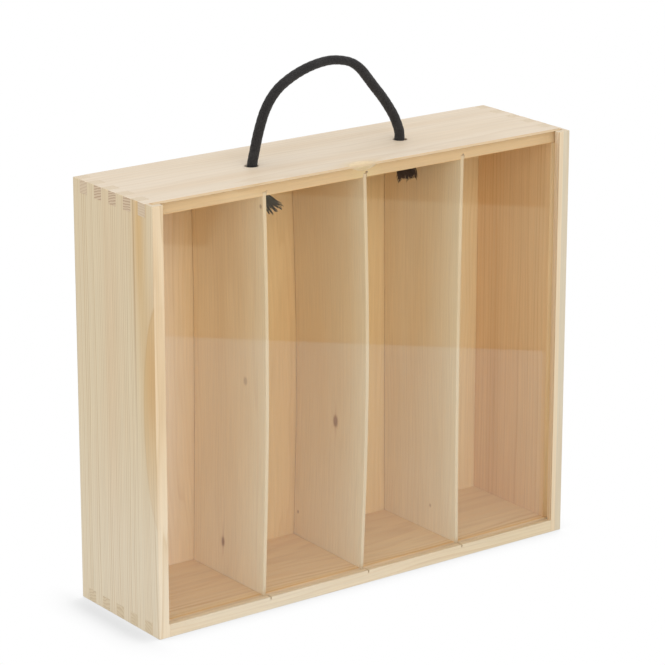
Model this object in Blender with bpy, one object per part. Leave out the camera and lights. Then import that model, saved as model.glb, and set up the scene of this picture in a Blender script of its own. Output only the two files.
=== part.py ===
"""Pine gift box for four bottles: finger-jointed case, sliding clear lid, rope handle.

Metres, +Z up. The origin is the middle of the underside, and the open front faces -Y.
Each board, panel, divider and length of cord is its own object.
"""

import math

import bmesh
import bpy
import numpy as np
from mathutils import Vector

# Case
WIDTH = 0.300
DEPTH = 0.0825
HEIGHT = 0.2565
BOARD = 0.0078
FINGER_COUNT = 11
GLUE_GAP = 0.0003
OVERRUN = 0.002

# Lid and the grooves that it slides in
LIP = 0.0037
LID_THICKNESS = 0.003
LID_PLAY = 0.0003
LID_CORNER = 0.0015
GROOVE_DEPTH = 0.0055
TOP_SETBACK_CLEARANCE = 0.0002

# Thumb notch in the top board's front edge
NOTCH_WIDTH = 0.020
NOTCH_BACK = 0.007
NOTCH_DOWN = 0.0035

# Back panel in its rebate
PANEL_THICKNESS = 0.004
REBATE = 0.004

# Dividers and the dadoes that hold them. Each drifts a little from an even division.
DIVIDER_DRIFTS = {"left": 0.0008, "middle": 0.0008, "right": -0.0004}
DIVIDER_THICKNESS = 0.0027
DADO_DEPTH = 0.0025
DIVIDER_ENTRY = 0.0012

# Cord, its holes and its knots
CORD_DIAMETER = 0.006
HOLE_DIAMETER = 0.0085
HOLE_PITCH_SHARE = 0.745
HOLE_BACK = 0.0015
ARCH_HEIGHT = 0.0549
HANDLE_LIFT = 0.0005
HANDLE_END_ANGLES = [math.radians(25), math.radians(50), math.radians(70), math.radians(84)]
KNOT_OPENING = 0.0012
KNOT_SQUEEZE = 0.0020
KNOT_STRAP_SLACK = 0.0003
KNOT_TILT = math.radians(9)
KNOT_SWING = math.radians(57)
STRAP_TILT = math.radians(90)
STRAP_SWING = math.radians(35)

# The handle's route between its two pivots: across from the middle as a share of the distance
# to a pivot, and up from the top board as a share of the arch's height
ROUTE_SHARES = [
    (-0.953, 0.155),
    (-0.901, 0.328),
    (-0.847, 0.506),
    (-0.744, 0.698),
    (-0.593, 0.842),
    (-0.407, 0.940),
    (-0.168, 0.991),
    (0.088, 1.000),
    (0.279, 0.962),
    (0.419, 0.889),
    (0.576, 0.716),
    (0.735, 0.528),
    (0.893, 0.288),
    (0.964, 0.164),
]

# The frayed tails: which way each leans, how far it comes out of the knot, and its tuft's length
TAILS = {
    "left": ((0.73, -0.45, -0.51), 0.0040, 0.0120),
    "right": ((0.15, -0.45, -0.88), 0.0005, 0.0065),
}
TUFT_RADIUS = 0.0068
TUFT_CORNERS = 28
WAIST_SHARE = 0.35
SKIRT_SHARE = 0.62
INNER_SHARE = 0.45
RAGGED_SHARE = 0.16

# Values that follow from the ones above
CORD_RADIUS = CORD_DIAMETER / 2
KNOT_TURN_RADIUS = CORD_RADIUS + KNOT_OPENING
KNOT_TURN_PITCH = CORD_DIAMETER - KNOT_SQUEEZE
FRONT = -DEPTH / 2
BACK = DEPTH / 2
TOP_UNDERSIDE = HEIGHT - BOARD
INNER_SIDE = WIDTH / 2 - BOARD
GROOVE_FRONT = FRONT + LIP
GROOVE_BACK = GROOVE_FRONT + LID_THICKNESS + 2 * LID_PLAY
GROOVE_END = INNER_SIDE + GROOVE_DEPTH
SETBACK = GROOVE_BACK + TOP_SETBACK_CLEARANCE
PANEL_FRONT = BACK - PANEL_THICKNESS
PIVOT_HEIGHT = HEIGHT + CORD_RADIUS + HANDLE_LIFT
FINE_SHARES = np.arange(0, 1, 0.05)


def clear_scene():
    """Removes whatever the open file holds."""
    for thing in list(bpy.data.objects):
        bpy.data.objects.remove(thing, do_unlink=True)


def linear(channel):
    """A colour channel from 0 to 255 as the linear value that a shader takes."""
    share = channel / 255
    return share / 12.92 if share <= 0.04045 else ((share + 0.055) / 1.055) ** 2.4


def paint(name, colour, roughness, alpha=1.0):
    """A Principled material of one colour, given in 0 to 255 as a screen shows it."""
    material = bpy.data.materials.new(name)
    material.use_nodes = True
    shader = material.node_tree.nodes["Principled BSDF"]
    shader.inputs["Base Color"].default_value = (*[linear(c) for c in colour], 1.0)
    shader.inputs["Roughness"].default_value = roughness
    shader.inputs["Metallic"].default_value = 0.0
    shader.inputs["Alpha"].default_value = alpha
    return material


def add_object(name, data, material=None, location=(0, 0, 0)):
    """Links an object made from a mesh or a curve, and gives it its material."""
    thing = bpy.data.objects.new(name, data)
    thing.location = location
    bpy.context.scene.collection.objects.link(thing)
    if material:
        data.materials.append(material)
    return thing


def extruded(name, outline, axis, low, high, material=None):
    """A closed solid: an outline in the plane across axis, swept from low to high along it.

    The outline's points give the two other coordinates in X, Y, Z order.
    """
    mesh = bpy.data.meshes.new(name)
    work = bmesh.new()
    corners = []
    for first, second in outline:
        place = [first, second]
        place.insert(axis, low)
        corners.append(work.verts.new(place))
    face = work.faces.new(corners)
    sweep = [0, 0, 0]
    sweep[axis] = high - low
    grown = bmesh.ops.extrude_face_region(work, geom=[face])
    moved = [part for part in grown["geom"] if isinstance(part, bmesh.types.BMVert)]
    bmesh.ops.translate(work, verts=moved, vec=sweep)
    bmesh.ops.recalc_face_normals(work, faces=work.faces)
    work.to_mesh(mesh)
    work.free()
    return add_object(name, mesh, material)


def rectangle(low, high, corner=0.0, steps=4):
    """The points of a rectangle between two opposite corners, with round corners if asked."""
    if not corner:
        return [(low[0], low[1]), (high[0], low[1]), (high[0], high[1]), (low[0], high[1])]
    centres = [
        (high[0] - corner, low[1] + corner, -90),
        (high[0] - corner, high[1] - corner, 0),
        (low[0] + corner, high[1] - corner, 90),
        (low[0] + corner, low[1] + corner, 180),
    ]
    points = []
    for across, up, start in centres:
        for step in range(steps + 1):
            angle = math.radians(start + 90 * step / steps)
            points.append((across + corner * math.cos(angle), up + corner * math.sin(angle)))
    return points


def block(name, low, high):
    """A plain cuboid between two opposite corners, for a cutter."""
    return extruded(name, rectangle(low[:2], high[:2]), 2, low[2], high[2])


def round_bar(name, centre, radius, low, high, sides=32):
    """An upright cylinder, for a cutter or a length of cord."""
    turn = 2 * math.pi / sides
    outline = [
        (centre[0] + radius * math.cos(turn * side), centre[1] + radius * math.sin(turn * side))
        for side in range(sides)
    ]
    return extruded(name, outline, 2, low, high)


def ball(name, centre, radius):
    """A sphere, for a cutter or for the middle of a knot."""
    mesh = bpy.data.meshes.new(name)
    work = bmesh.new()
    bmesh.ops.create_uvsphere(work, u_segments=64, v_segments=32, radius=radius)
    work.to_mesh(mesh)
    work.free()
    return add_object(name, mesh, location=centre)


def cord_turn(name, centre, turn_radius, tilt, swing, around=24, sides=12):
    """One turn of cord: a torus about Z, tipped by tilt about X, and then swung about Z."""
    mesh = bpy.data.meshes.new(name)
    work = bmesh.new()
    start = bmesh.ops.create_circle(work, segments=sides, radius=CORD_RADIUS)["verts"]
    for vert in start:
        vert.co = Vector((turn_radius + vert.co.x, 0, vert.co.y))
    bmesh.ops.spin(
        work,
        geom=list(work.edges),
        cent=(0, 0, 0),
        axis=(0, 0, 1),
        angle=2 * math.pi,
        steps=around,
        use_merge=True,
    )
    bmesh.ops.remove_doubles(work, verts=work.verts, dist=CORD_RADIUS / 1000)
    bmesh.ops.recalc_face_normals(work, faces=work.faces)
    work.to_mesh(mesh)
    work.free()
    turn = add_object(name, mesh, location=centre)
    turn.rotation_euler = (tilt, 0, swing)
    return turn


def combine(target, tool, operation):
    """Cuts a tool out of a target, or adds it, and keeps the tool as a hidden guide."""
    step = target.modifiers.new(tool.name, "BOOLEAN")
    step.operation = operation
    step.object = tool
    step.solver = "EXACT"
    tool.hide_render = True
    tool.display_type = "WIRE"


def cut(target, *tools):
    """Cuts each tool out of the target."""
    for tool in tools:
        combine(target, tool, "DIFFERENCE")


def finger_edges():
    """Where the finger joints change hands, from the front face to the back face.

    The first finger covers the lid groove, and the others share what is left alike.
    """
    pitch = (BACK - SETBACK) / (FINGER_COUNT - 1)
    return [FRONT] + [SETBACK + pitch * count for count in range(FINGER_COUNT)]


def comb(first, own, outside, inside):
    """One comb edge, as (along, across) points from the finger numbered first to the last.

    Fingers with the parity own reach outside, and the others stop at inside. Each finger
    is narrower by half the glue gap at each side that meets a neighbour.
    """
    edges = finger_edges()
    points = []
    for count in range(first, FINGER_COUNT):
        mine = count % 2 == own
        inward = GLUE_GAP / 2 if mine else -GLUE_GAP / 2
        start = edges[count] + (inward if count > 0 else 0)
        end = edges[count + 1] - (inward if count < FINGER_COUNT - 1 else 0)
        across = outside if mine else inside
        points += [(start, across), (end, across)]
    return points


def side_board(name, side, material):
    """A full-height side board, on the left for side -1 and on the right for side 1."""
    low_edge = comb(0, 0, 0, BOARD + GLUE_GAP)
    high_edge = comb(0, 0, HEIGHT, TOP_UNDERSIDE - GLUE_GAP)
    outer = side * WIDTH / 2
    inner = side * INNER_SIDE
    board = extruded(
        name, low_edge + high_edge[::-1], 0, min(outer, inner), max(outer, inner), material
    )
    groove_reach = sorted((side * GROOVE_END, side * (INNER_SIDE - OVERRUN)))
    groove = block(
        f"{name}_lid_groove",
        (groove_reach[0], GROOVE_FRONT, -OVERRUN),
        (groove_reach[1], GROOVE_BACK, HEIGHT + OVERRUN),
    )
    rebate_reach = sorted((side * (INNER_SIDE + REBATE), side * (INNER_SIDE - OVERRUN)))
    rebate = block(
        f"{name}_rebate",
        (rebate_reach[0], PANEL_FRONT - GLUE_GAP, BOARD - REBATE),
        (rebate_reach[1], BACK + OVERRUN, TOP_UNDERSIDE + REBATE),
    )
    cut(board, groove, rebate)
    return board


def divider_pitch():
    """From one divider to the next when they share the width evenly."""
    count = len(DIVIDER_DRIFTS)
    clear = 2 * INNER_SIDE - count * DIVIDER_THICKNESS
    return clear / (count + 1) + DIVIDER_THICKNESS


def divider_places():
    """Where the middle of each divider stands across the box, by its name."""
    middle = (len(DIVIDER_DRIFTS) - 1) / 2
    return {
        name: divider_pitch() * (place - middle) + drift
        for place, (name, drift) in enumerate(DIVIDER_DRIFTS.items())
    }


def hole_places():
    """Where each cord hole stands across the box, inside its own bay."""
    reach = divider_pitch() * HOLE_PITCH_SHARE
    return {"left": -reach, "right": reach}


def level_board(name, first, low, high, material):
    """A board with comb ends that lies between the side boards, from finger first to the back."""
    edge = comb(first, 1, WIDTH / 2, INNER_SIDE - GLUE_GAP)
    right = [(across, along) for along, across in edge]
    left = [(-across, along) for across, along in right]
    return extruded(name, right + left[::-1], 2, low, high, material)


def dado_cutters(name, low, high):
    """One slot for each divider, right across the board."""
    half = DIVIDER_THICKNESS / 2 + GLUE_GAP
    return [
        block(
            f"{name}_dado_{divider}",
            (place - half, FRONT - OVERRUN, low),
            (place + half, BACK + OVERRUN, high),
        )
        for divider, place in divider_places().items()
    ]


def thumb_notch_cutter():
    """A ball whose dip in the board's edge has the notch's width, reach back and depth."""
    half = NOTCH_WIDTH / 2
    ahead = (half**2 - NOTCH_BACK**2) / (2 * NOTCH_BACK)
    above = (half**2 - NOTCH_DOWN**2) / (2 * NOTCH_DOWN)
    radius = math.sqrt(half**2 + ahead**2 + above**2)
    return ball("thumb_notch", (0, SETBACK - ahead, HEIGHT + above), radius)


def top_board(material):
    """The top board, set back behind the lid, with cord holes, dadoes and a thumb notch."""
    board = level_board("top_board", 1, TOP_UNDERSIDE, HEIGHT, material)
    rebate = block(
        "top_rebate",
        (-WIDTH / 2 - OVERRUN, PANEL_FRONT - GLUE_GAP, TOP_UNDERSIDE - OVERRUN),
        (WIDTH / 2 + OVERRUN, BACK + OVERRUN, TOP_UNDERSIDE + REBATE),
    )
    cut(board, rebate, thumb_notch_cutter())
    cut(board, *dado_cutters("top", TOP_UNDERSIDE - OVERRUN, TOP_UNDERSIDE + DADO_DEPTH))
    for side, across in hole_places().items():
        hole = round_bar(
            f"cord_hole_{side}",
            (across, HOLE_BACK),
            HOLE_DIAMETER / 2,
            TOP_UNDERSIDE - OVERRUN,
            HEIGHT + OVERRUN,
        )
        cut(board, hole)
    return board


def bottom_board(material):
    """The bottom board, with the groove that the lid stands in, dadoes and a rebate."""
    board = level_board("bottom_board", 0, 0, BOARD, material)
    groove = block(
        "bottom_lid_groove",
        (-WIDTH / 2 - OVERRUN, GROOVE_FRONT, BOARD - GROOVE_DEPTH),
        (WIDTH / 2 + OVERRUN, GROOVE_BACK, BOARD + OVERRUN),
    )
    rebate = block(
        "bottom_rebate",
        (-WIDTH / 2 - OVERRUN, PANEL_FRONT - GLUE_GAP, BOARD - REBATE),
        (WIDTH / 2 + OVERRUN, BACK + OVERRUN, BOARD + OVERRUN),
    )
    cut(board, groove, rebate)
    cut(board, *dado_cutters("bottom", BOARD - DADO_DEPTH, BOARD + OVERRUN))
    return board


def back_panel(material):
    """The thin panel, flush with the back, in the rebates of all four boards."""
    reach = INNER_SIDE + REBATE - GLUE_GAP
    low = BOARD - REBATE + GLUE_GAP
    high = TOP_UNDERSIDE + REBATE - GLUE_GAP
    return extruded(
        "back_panel", rectangle((-reach, low), (reach, high)), 1, PANEL_FRONT, BACK, material
    )


def dividers(material):
    """The upright dividers, standing in the bottom dadoes and entering the top ones."""
    low = BOARD - DADO_DEPTH + GLUE_GAP
    high = TOP_UNDERSIDE + DIVIDER_ENTRY
    outline = rectangle((SETBACK, low), (PANEL_FRONT - GLUE_GAP, high))
    half = DIVIDER_THICKNESS / 2
    for name, place in divider_places().items():
        extruded(f"divider_{name}", outline, 0, place - half, place + half, material)


def sliding_lid(material):
    """The clear sheet, with its origin in the middle of the edge that it stands on."""
    foot = BOARD - GROOVE_DEPTH + GLUE_GAP
    reach = GROOVE_END - LID_PLAY
    lid = extruded(
        "sliding_lid",
        rectangle((-reach, 0), (reach, HEIGHT - foot), LID_CORNER),
        1,
        0,
        LID_THICKNESS,
        material,
    )
    lid.location = (0, GROOVE_FRONT + LID_PLAY, foot)
    return lid


def smooth_route(stops, step):
    """Points at an even step along a smooth curve through the stops."""
    stops = np.array(stops)
    before = 2 * stops[0] - stops[1]
    after = 2 * stops[-1] - stops[-2]
    held = np.vstack([before, stops, after])
    dense = []
    for start in range(1, len(held) - 2):
        a, b, c, d = held[start - 1 : start + 3]
        for share in FINE_SHARES:
            dense.append(
                0.5
                * (
                    2 * b
                    + (c - a) * share
                    + (2 * a - 5 * b + 4 * c - d) * share**2
                    + (3 * b - a - 3 * c + d) * share**3
                )
            )
    dense.append(stops[-1])
    dense = np.array(dense)
    along = np.concatenate([[0], np.cumsum(np.linalg.norm(np.diff(dense, axis=0), axis=1))])
    count = max(round(along[-1] / step), 2)
    wanted = np.linspace(0, along[-1], count + 1)
    return [np.array([np.interp(s, along, dense[:, k]) for k in range(3)]) for s in wanted]


def handle_cord(material):
    """The arch of cord, with its origin on the line through both holes that it swings about.

    Each end is round about that line, so it turns in place above the cord in its hole.
    """
    half = hole_places()["right"]
    lift = CORD_RADIUS + HANDLE_LIFT
    stops = [(-half, 0, 0)]
    stops += [(half * across, 0, ARCH_HEIGHT * up - lift) for across, up in ROUTE_SHARES]
    stops += [(half, 0, 0)]
    route = [(point, 1.0) for point in smooth_route(stops, 2 * CORD_DIAMETER)]
    for angle in HANDLE_END_ANGLES:
        drop = np.array([0, 0, CORD_RADIUS * math.sin(angle)])
        route.insert(0, (np.array(stops[0]) - drop, math.cos(angle)))
        route.append((np.array(stops[-1]) - drop, math.cos(angle)))
    curve = bpy.data.curves.new("handle_cord", "CURVE")
    curve.dimensions = "3D"
    curve.bevel_depth = CORD_RADIUS
    curve.bevel_resolution = 4
    curve.use_fill_caps = True
    line = curve.splines.new("POLY")
    line.points.add(len(route) - 1)
    for point, (place, share) in zip(line.points, route):
        point.co = (*place, 1.0)
        point.radius = share
    return add_object("handle_cord", curve, material, (0, HOLE_BACK, PIVOT_HEIGHT))


def cord_end(side, across, material):
    """The cord through its hole, the knot drawn up under the top board, and its frayed tail.

    The knot is two tipped turns with a strap across them, pressed into one another.
    """
    name = f"cord_end_{side}"
    top = PIVOT_HEIGHT - CORD_RADIUS - GLUE_GAP
    upper = TOP_UNDERSIDE - GLUE_GAP - CORD_RADIUS - KNOT_TURN_RADIUS * math.sin(KNOT_TILT)
    lower = upper - KNOT_TURN_PITCH
    end = round_bar(name, (across, HOLE_BACK), CORD_RADIUS, lower, top, sides=24)
    end.data.materials.append(material)
    upper_turn = cord_turn(
        f"{name}_upper_turn", (across, HOLE_BACK, upper), KNOT_TURN_RADIUS, KNOT_TILT, 0
    )
    lower_turn = cord_turn(
        f"{name}_lower_turn", (across, HOLE_BACK, lower), KNOT_TURN_RADIUS, -KNOT_TILT, KNOT_SWING
    )
    strap = cord_turn(
        f"{name}_strap",
        (across, HOLE_BACK - KNOT_TURN_RADIUS / 2, (upper + lower) / 2),
        CORD_RADIUS + KNOT_STRAP_SLACK,
        STRAP_TILT,
        STRAP_SWING,
    )
    heart = ball(f"{name}_heart", (across, HOLE_BACK, lower), CORD_RADIUS)
    tail = frayed_tail(f"{name}_tail", (across, HOLE_BACK, lower), *TAILS[side])
    for piece in (upper_turn, lower_turn, strap, heart, tail):
        combine(end, piece, "UNION")
    return end


def frayed_tail(name, root, lean, reach, tuft_length):
    """The cut end of the cord from inside the knot, opened out into a ragged tuft.

    A round stem of the given reach beyond the knot ends in rings whose corners stand at
    uneven lengths, and the last ring goes back up inside the tuft, so that it is hollow.
    """
    line = Vector(lean).normalized()
    across_line = line.orthogonal().normalized()
    third = line.cross(across_line)
    mesh = bpy.data.meshes.new(name)
    work = bmesh.new()

    def circle(lengths, radii):
        """A ring of corners about the tuft's line, each with its own length and radius."""
        verts = []
        for corner, (length, radius) in enumerate(zip(lengths, radii)):
            angle = 2 * math.pi * corner / TUFT_CORNERS
            spoke = across_line * math.cos(angle) + third * math.sin(angle)
            verts.append(work.verts.new(Vector(root) + line * length + spoke * radius))
        return verts

    def even(value):
        """The same value for every corner."""
        return [value] * TUFT_CORNERS

    def strands(long, short):
        """One value for the tip of each strand, and another for the gap beside it."""
        return [long if corner % 2 else short for corner in range(TUFT_CORNERS)]

    start = CORD_RADIUS + reach
    ragged = [1 - RAGGED_SHARE * (1 + math.sin(corner**2)) for corner in range(TUFT_CORNERS)]
    tips = strands(tuft_length, tuft_length * SKIRT_SHARE)
    rings = [
        circle(even(0), even(CORD_RADIUS)),
        circle(even(start), even(CORD_RADIUS)),
        circle(
            even(start + tuft_length * WAIST_SHARE),
            even(CORD_RADIUS + (TUFT_RADIUS - CORD_RADIUS) * WAIST_SHARE),
        ),
        circle(
            [start + tip * share for tip, share in zip(tips, ragged)],
            strands(TUFT_RADIUS, TUFT_RADIUS * SKIRT_SHARE),
        ),
        circle(even(start + tuft_length * WAIST_SHARE), even(TUFT_RADIUS * INNER_SHARE)),
    ]
    for upper, lower in zip(rings, rings[1:]):
        for corner in range(TUFT_CORNERS):
            after = (corner + 1) % TUFT_CORNERS
            work.faces.new([upper[corner], upper[after], lower[after], lower[corner]])
    work.faces.new(rings[0])
    work.faces.new(rings[-1])
    bmesh.ops.triangulate(work, faces=work.faces)
    bmesh.ops.recalc_face_normals(work, faces=work.faces)
    work.to_mesh(mesh)
    work.free()
    return add_object(name, mesh)


def main():
    """Builds the box, piece by piece."""
    clear_scene()
    pine = paint("board_pine", (222, 199, 163), 0.55)
    thin_pine = paint("divider_wood", (206, 176, 138), 0.6)
    acrylic = paint("clear_acrylic", (236, 240, 240), 0.05, alpha=0.25)
    cotton = paint("black_cord", (38, 37, 38), 0.9)

    side_board("left_board", -1, pine)
    side_board("right_board", 1, pine)
    top_board(pine)
    bottom_board(pine)
    back_panel(thin_pine)
    dividers(thin_pine)
    sliding_lid(acrylic)
    handle_cord(cotton)
    for side, across in hole_places().items():
        cord_end(side, across, cotton)


main()
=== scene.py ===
"""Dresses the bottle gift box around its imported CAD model.

The case's boards come back with eased edges, tight finger joints and a pine finish whose
rings run through each board. The dividers bow a little, the lid is clear acrylic, and the
carrying cord is one braided length that goes through the top board to a knot and a frayed
tail on each side. Lengths are in metres, and colours are given as a screen shows them.
"""

import logging
import math
from collections.abc import Callable, Iterator, Sequence
from contextlib import contextmanager
from dataclasses import dataclass
from enum import Enum
from typing import NamedTuple

import bmesh
import bpy
import numpy as np
from mathutils import Matrix, Vector

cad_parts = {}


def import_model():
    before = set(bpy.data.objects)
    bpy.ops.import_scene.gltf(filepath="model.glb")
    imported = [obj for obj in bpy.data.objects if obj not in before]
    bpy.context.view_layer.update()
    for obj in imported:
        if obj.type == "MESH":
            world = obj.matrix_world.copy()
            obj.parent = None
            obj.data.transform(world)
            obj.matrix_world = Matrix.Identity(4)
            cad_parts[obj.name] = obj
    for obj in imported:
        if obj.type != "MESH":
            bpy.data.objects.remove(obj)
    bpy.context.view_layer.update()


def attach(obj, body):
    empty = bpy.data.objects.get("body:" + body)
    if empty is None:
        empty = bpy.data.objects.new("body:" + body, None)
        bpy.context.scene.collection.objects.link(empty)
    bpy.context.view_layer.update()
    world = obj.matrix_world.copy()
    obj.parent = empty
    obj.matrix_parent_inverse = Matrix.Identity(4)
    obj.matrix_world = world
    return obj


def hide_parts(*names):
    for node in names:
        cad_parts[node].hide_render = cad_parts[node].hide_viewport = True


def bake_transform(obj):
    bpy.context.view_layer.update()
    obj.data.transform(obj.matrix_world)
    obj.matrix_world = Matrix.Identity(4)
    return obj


LOG = logging.getLogger("gift_box")
ACRYLIC_IOR = 1.49
MM = 0.001

Point = tuple[float, float, float]
Flat = tuple[float, float]
Colour = tuple[float, float, float, float]
Socket = bpy.types.NodeSocket
Value = Socket | float
Hue = Socket | Colour


class Slot(Enum):
    """The record's material slots."""

    BOARD = "board_pine"
    THIN = "divider_wood"
    LID = "clear_acrylic"
    CORD = "black_cord"


class Body(Enum):
    """The bodies that pieces ride on."""

    CASE = "box"
    LID = "lid"
    HANDLE = "handle"


class Grain(Enum):
    """The axis that a board's grain runs along."""

    ACROSS = 0
    UPRIGHT = 2


@dataclass(frozen=True)
class Tone:
    """A colour as a screen shows it, each channel from 0 to 255."""

    red: float
    green: float
    blue: float

    def linear(self) -> Colour:
        """The colour as the linear values that a shader takes.

        Returns:
            Red, green and blue from 0 to 1, and full alpha.
        """
        foot, slope, lift, power = 0.04045, 12.92, 0.055, 2.4
        shares = [channel / 255 for channel in (self.red, self.green, self.blue)]
        lit = [s / slope if s <= foot else ((s + lift) / (1 + lift)) ** power for s in shares]
        return (lit[0], lit[1], lit[2], 1.0)


THIN_ENDS = (Tone(218, 188, 150), Tone(172, 130, 92), 0.6)


class ShaderGraph:
    """A material's node tree, with short calls for the nodes that the finishes share."""

    def __init__(self, name: str) -> None:
        """Starts a material with one Principled shader.

        Args:
            name: The material's name.
        """
        self.material = bpy.data.materials.new(name)
        self.material.use_nodes = True
        self.tree = self.material.node_tree
        self.shader = self.tree.nodes["Principled BSDF"]
        self.output = self.tree.nodes["Material Output"]

    def node(self, kind: str, **settings: object) -> bpy.types.Node:
        """Adds a node.

        Args:
            kind: The node's type name.
            settings: Its attributes by name.

        Returns:
            The new node.
        """
        made = self.tree.nodes.new(kind)
        for key, value in settings.items():
            setattr(made, key, value)
        return made

    def feed(self, target: Socket, value: object) -> None:
        """Links a socket into another, or sets a plain value on it.

        Args:
            target: The input.
            value: A socket or a plain value.
        """
        if isinstance(value, Socket):
            self.tree.links.new(value, target)
        else:
            target.default_value = value

    def dress(self, inputs: dict[str, object]) -> None:
        """Feeds the shader's inputs by name, each with a socket or a plain value."""
        for name, value in inputs.items():
            self.feed(self.shader.inputs[name], value)

    def math(self, operation: str, *values: Value) -> Socket:
        """A Math node.

        Args:
            operation: The node's operation.
            values: Its inputs in order, each a socket or a number.

        Returns:
            The value's socket.
        """
        made = self.node("ShaderNodeMath", operation=operation)
        for target, value in zip(made.inputs, values):
            self.feed(target, value)
        return made.outputs[0]

    def squares(self, first: Socket, second: Socket) -> Socket:
        """The socket for the sum of two squares."""
        return self.math("ADD", self.math("POWER", first, 2), self.math("POWER", second, 2))

    def combine(self, *parts: Value) -> Socket:
        """A vector from its parts.

        Args:
            parts: The three parts, each a socket or a number.

        Returns:
            The vector's socket.
        """
        made = self.node("ShaderNodeCombineXYZ")
        for target, value in zip(made.inputs, parts):
            self.feed(target, value)
        return made.outputs[0]

    def here(self) -> Socket:
        """The socket for a point's place on the object, in metres."""
        return self.node("ShaderNodeTexCoord").outputs["Object"]

    def split(self) -> tuple[Socket, ...]:
        """A point's place on the object in its three parts, in metres.

        Returns:
            The sockets for x, y and z.
        """
        made = self.node("ShaderNodeSeparateXYZ")
        self.feed(made.inputs[0], self.here())
        return tuple(made.outputs)

    def noise(self, vector: Socket, detail: float, scale: float = 1.0) -> Socket:
        """Noise from 0 to 1.

        Args:
            vector: Where the noise is read.
            detail: How many finer layers it has.
            scale: How often it turns over per unit of the vector.

        Returns:
            The noise value's socket.
        """
        made = self.node("ShaderNodeTexNoise")
        self.feed(made.inputs["Vector"], vector)
        made.inputs["Scale"].default_value = scale
        made.inputs["Detail"].default_value = detail
        return made.outputs[0]

    def streaks(self, parts: Sequence[Socket], scales: Point, detail: float) -> Socket:
        """Noise that is stretched, with a scale of its own for each part of a place.

        Args:
            parts: The three parts of the place.
            scales: The noise's scale for each part.
            detail: How many finer layers it has.

        Returns:
            The noise value's socket.
        """
        scaled = [self.math("MULTIPLY", part, scale) for part, scale in zip(parts, scales)]
        return self.noise(self.combine(*scaled), detail)

    def remap(self, value: Value, low: float, high: float, start: float, end: float) -> Socket:
        """Turns a range of values smoothly into another one.

        Args:
            value: The socket to read.
            low: The value that gives start.
            high: The value that gives end.
            start: The result at low.
            end: The result at high.

        Returns:
            The result's socket.
        """
        made = self.node("ShaderNodeMapRange", interpolation_type="SMOOTHSTEP")
        for target, given in zip(made.inputs, (value, low, high, start, end)):
            self.feed(target, given)
        return made.outputs[0]

    def mix(self, share: Value, first: Hue, second: Hue, blend: str = "MIX") -> Socket:
        """Mixes two colours.

        Args:
            share: How much of the second colour there is, from 0 to 1.
            first: The first colour or its socket.
            second: The second colour or its socket.
            blend: How the two are mixed.

        Returns:
            The mixed colour's socket.
        """
        made = self.node("ShaderNodeMix", data_type="RGBA", blend_type=blend)
        share_in, first_in, second_in = (made.inputs[place] for place in (0, 6, 7))
        self.feed(share_in, share)
        self.feed(first_in, first)
        self.feed(second_in, second)
        return made.outputs[2]

    def shade(self, colour: Socket, level: Socket) -> Socket:
        """The socket for a colour times a grey level."""
        return self.mix(1.0, colour, self.combine(level, level, level), "MULTIPLY")

    def blend(self, share: Socket, first: Socket, second: Socket) -> Socket:
        """Mixes two shaders.

        Args:
            share: How much of the second shader there is, from 0 to 1.
            first: The first shader.
            second: The second shader.

        Returns:
            The mixed shader's socket.
        """
        made = self.node("ShaderNodeMixShader")
        for target, value in zip(made.inputs, (share, first, second)):
            self.feed(target, value)
        return made.outputs[0]

    def ramp(self, value: Socket, stops: Sequence[Flat]) -> Socket:
        """A grey ramp through the given stops.

        Args:
            value: The socket to read.
            stops: Place and grey level of each stop.

        Returns:
            The ramp colour's socket.
        """
        made = self.node("ShaderNodeValToRGB")
        elements = made.color_ramp.elements
        while len(elements) < len(stops):
            elements.new(0.5)
        for element, (place, level) in zip(elements, stops):
            element.position = place
            element.color = (level, level, level, 1.0)
        self.feed(made.inputs[0], value)
        return made.outputs[0]

    def bump(self, height: Socket, distance: float, strength: float) -> None:
        """Gives the shader a bump from a height between 0 and 1.

        Args:
            height: The height's socket.
            distance: How far a height of 1 stands up, in metres.
            strength: How strongly the bump shows.
        """
        made = self.node("ShaderNodeBump")
        self.feed(made.inputs["Height"], height)
        made.inputs["Distance"].default_value = distance
        made.inputs["Strength"].default_value = strength
        self.feed(self.shader.inputs["Normal"], made.outputs[0])


@dataclass(frozen=True)
class Knot:
    """A knot, or a long loop of grain, at a place on a board's face.

    Its place is across and along the grain, and so are its half sizes. The rings bend round
    it by the bulge, and its heart is darkened by the given share.
    """

    across: float
    along: float
    half_across: float
    half_along: float
    bulge: float
    dark: float = 0.0


@dataclass(frozen=True)
class Patch:
    """An oval on a board where the wood has another tone, in half sizes like a knot's.

    It fades out softly, or ends at its half sizes with a thin line where it is crisp. beyond
    keeps it to the wood past that place through the board.
    """

    across: float
    along: float
    half_across: float
    half_along: float
    share: float
    tone: Tone
    crisp: bool = False
    beyond: float | None = None


class Spot(NamedTuple):
    """The sockets for a point's place on a board, in millimetres."""

    across: Socket
    through: Socket
    along: Socket


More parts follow.
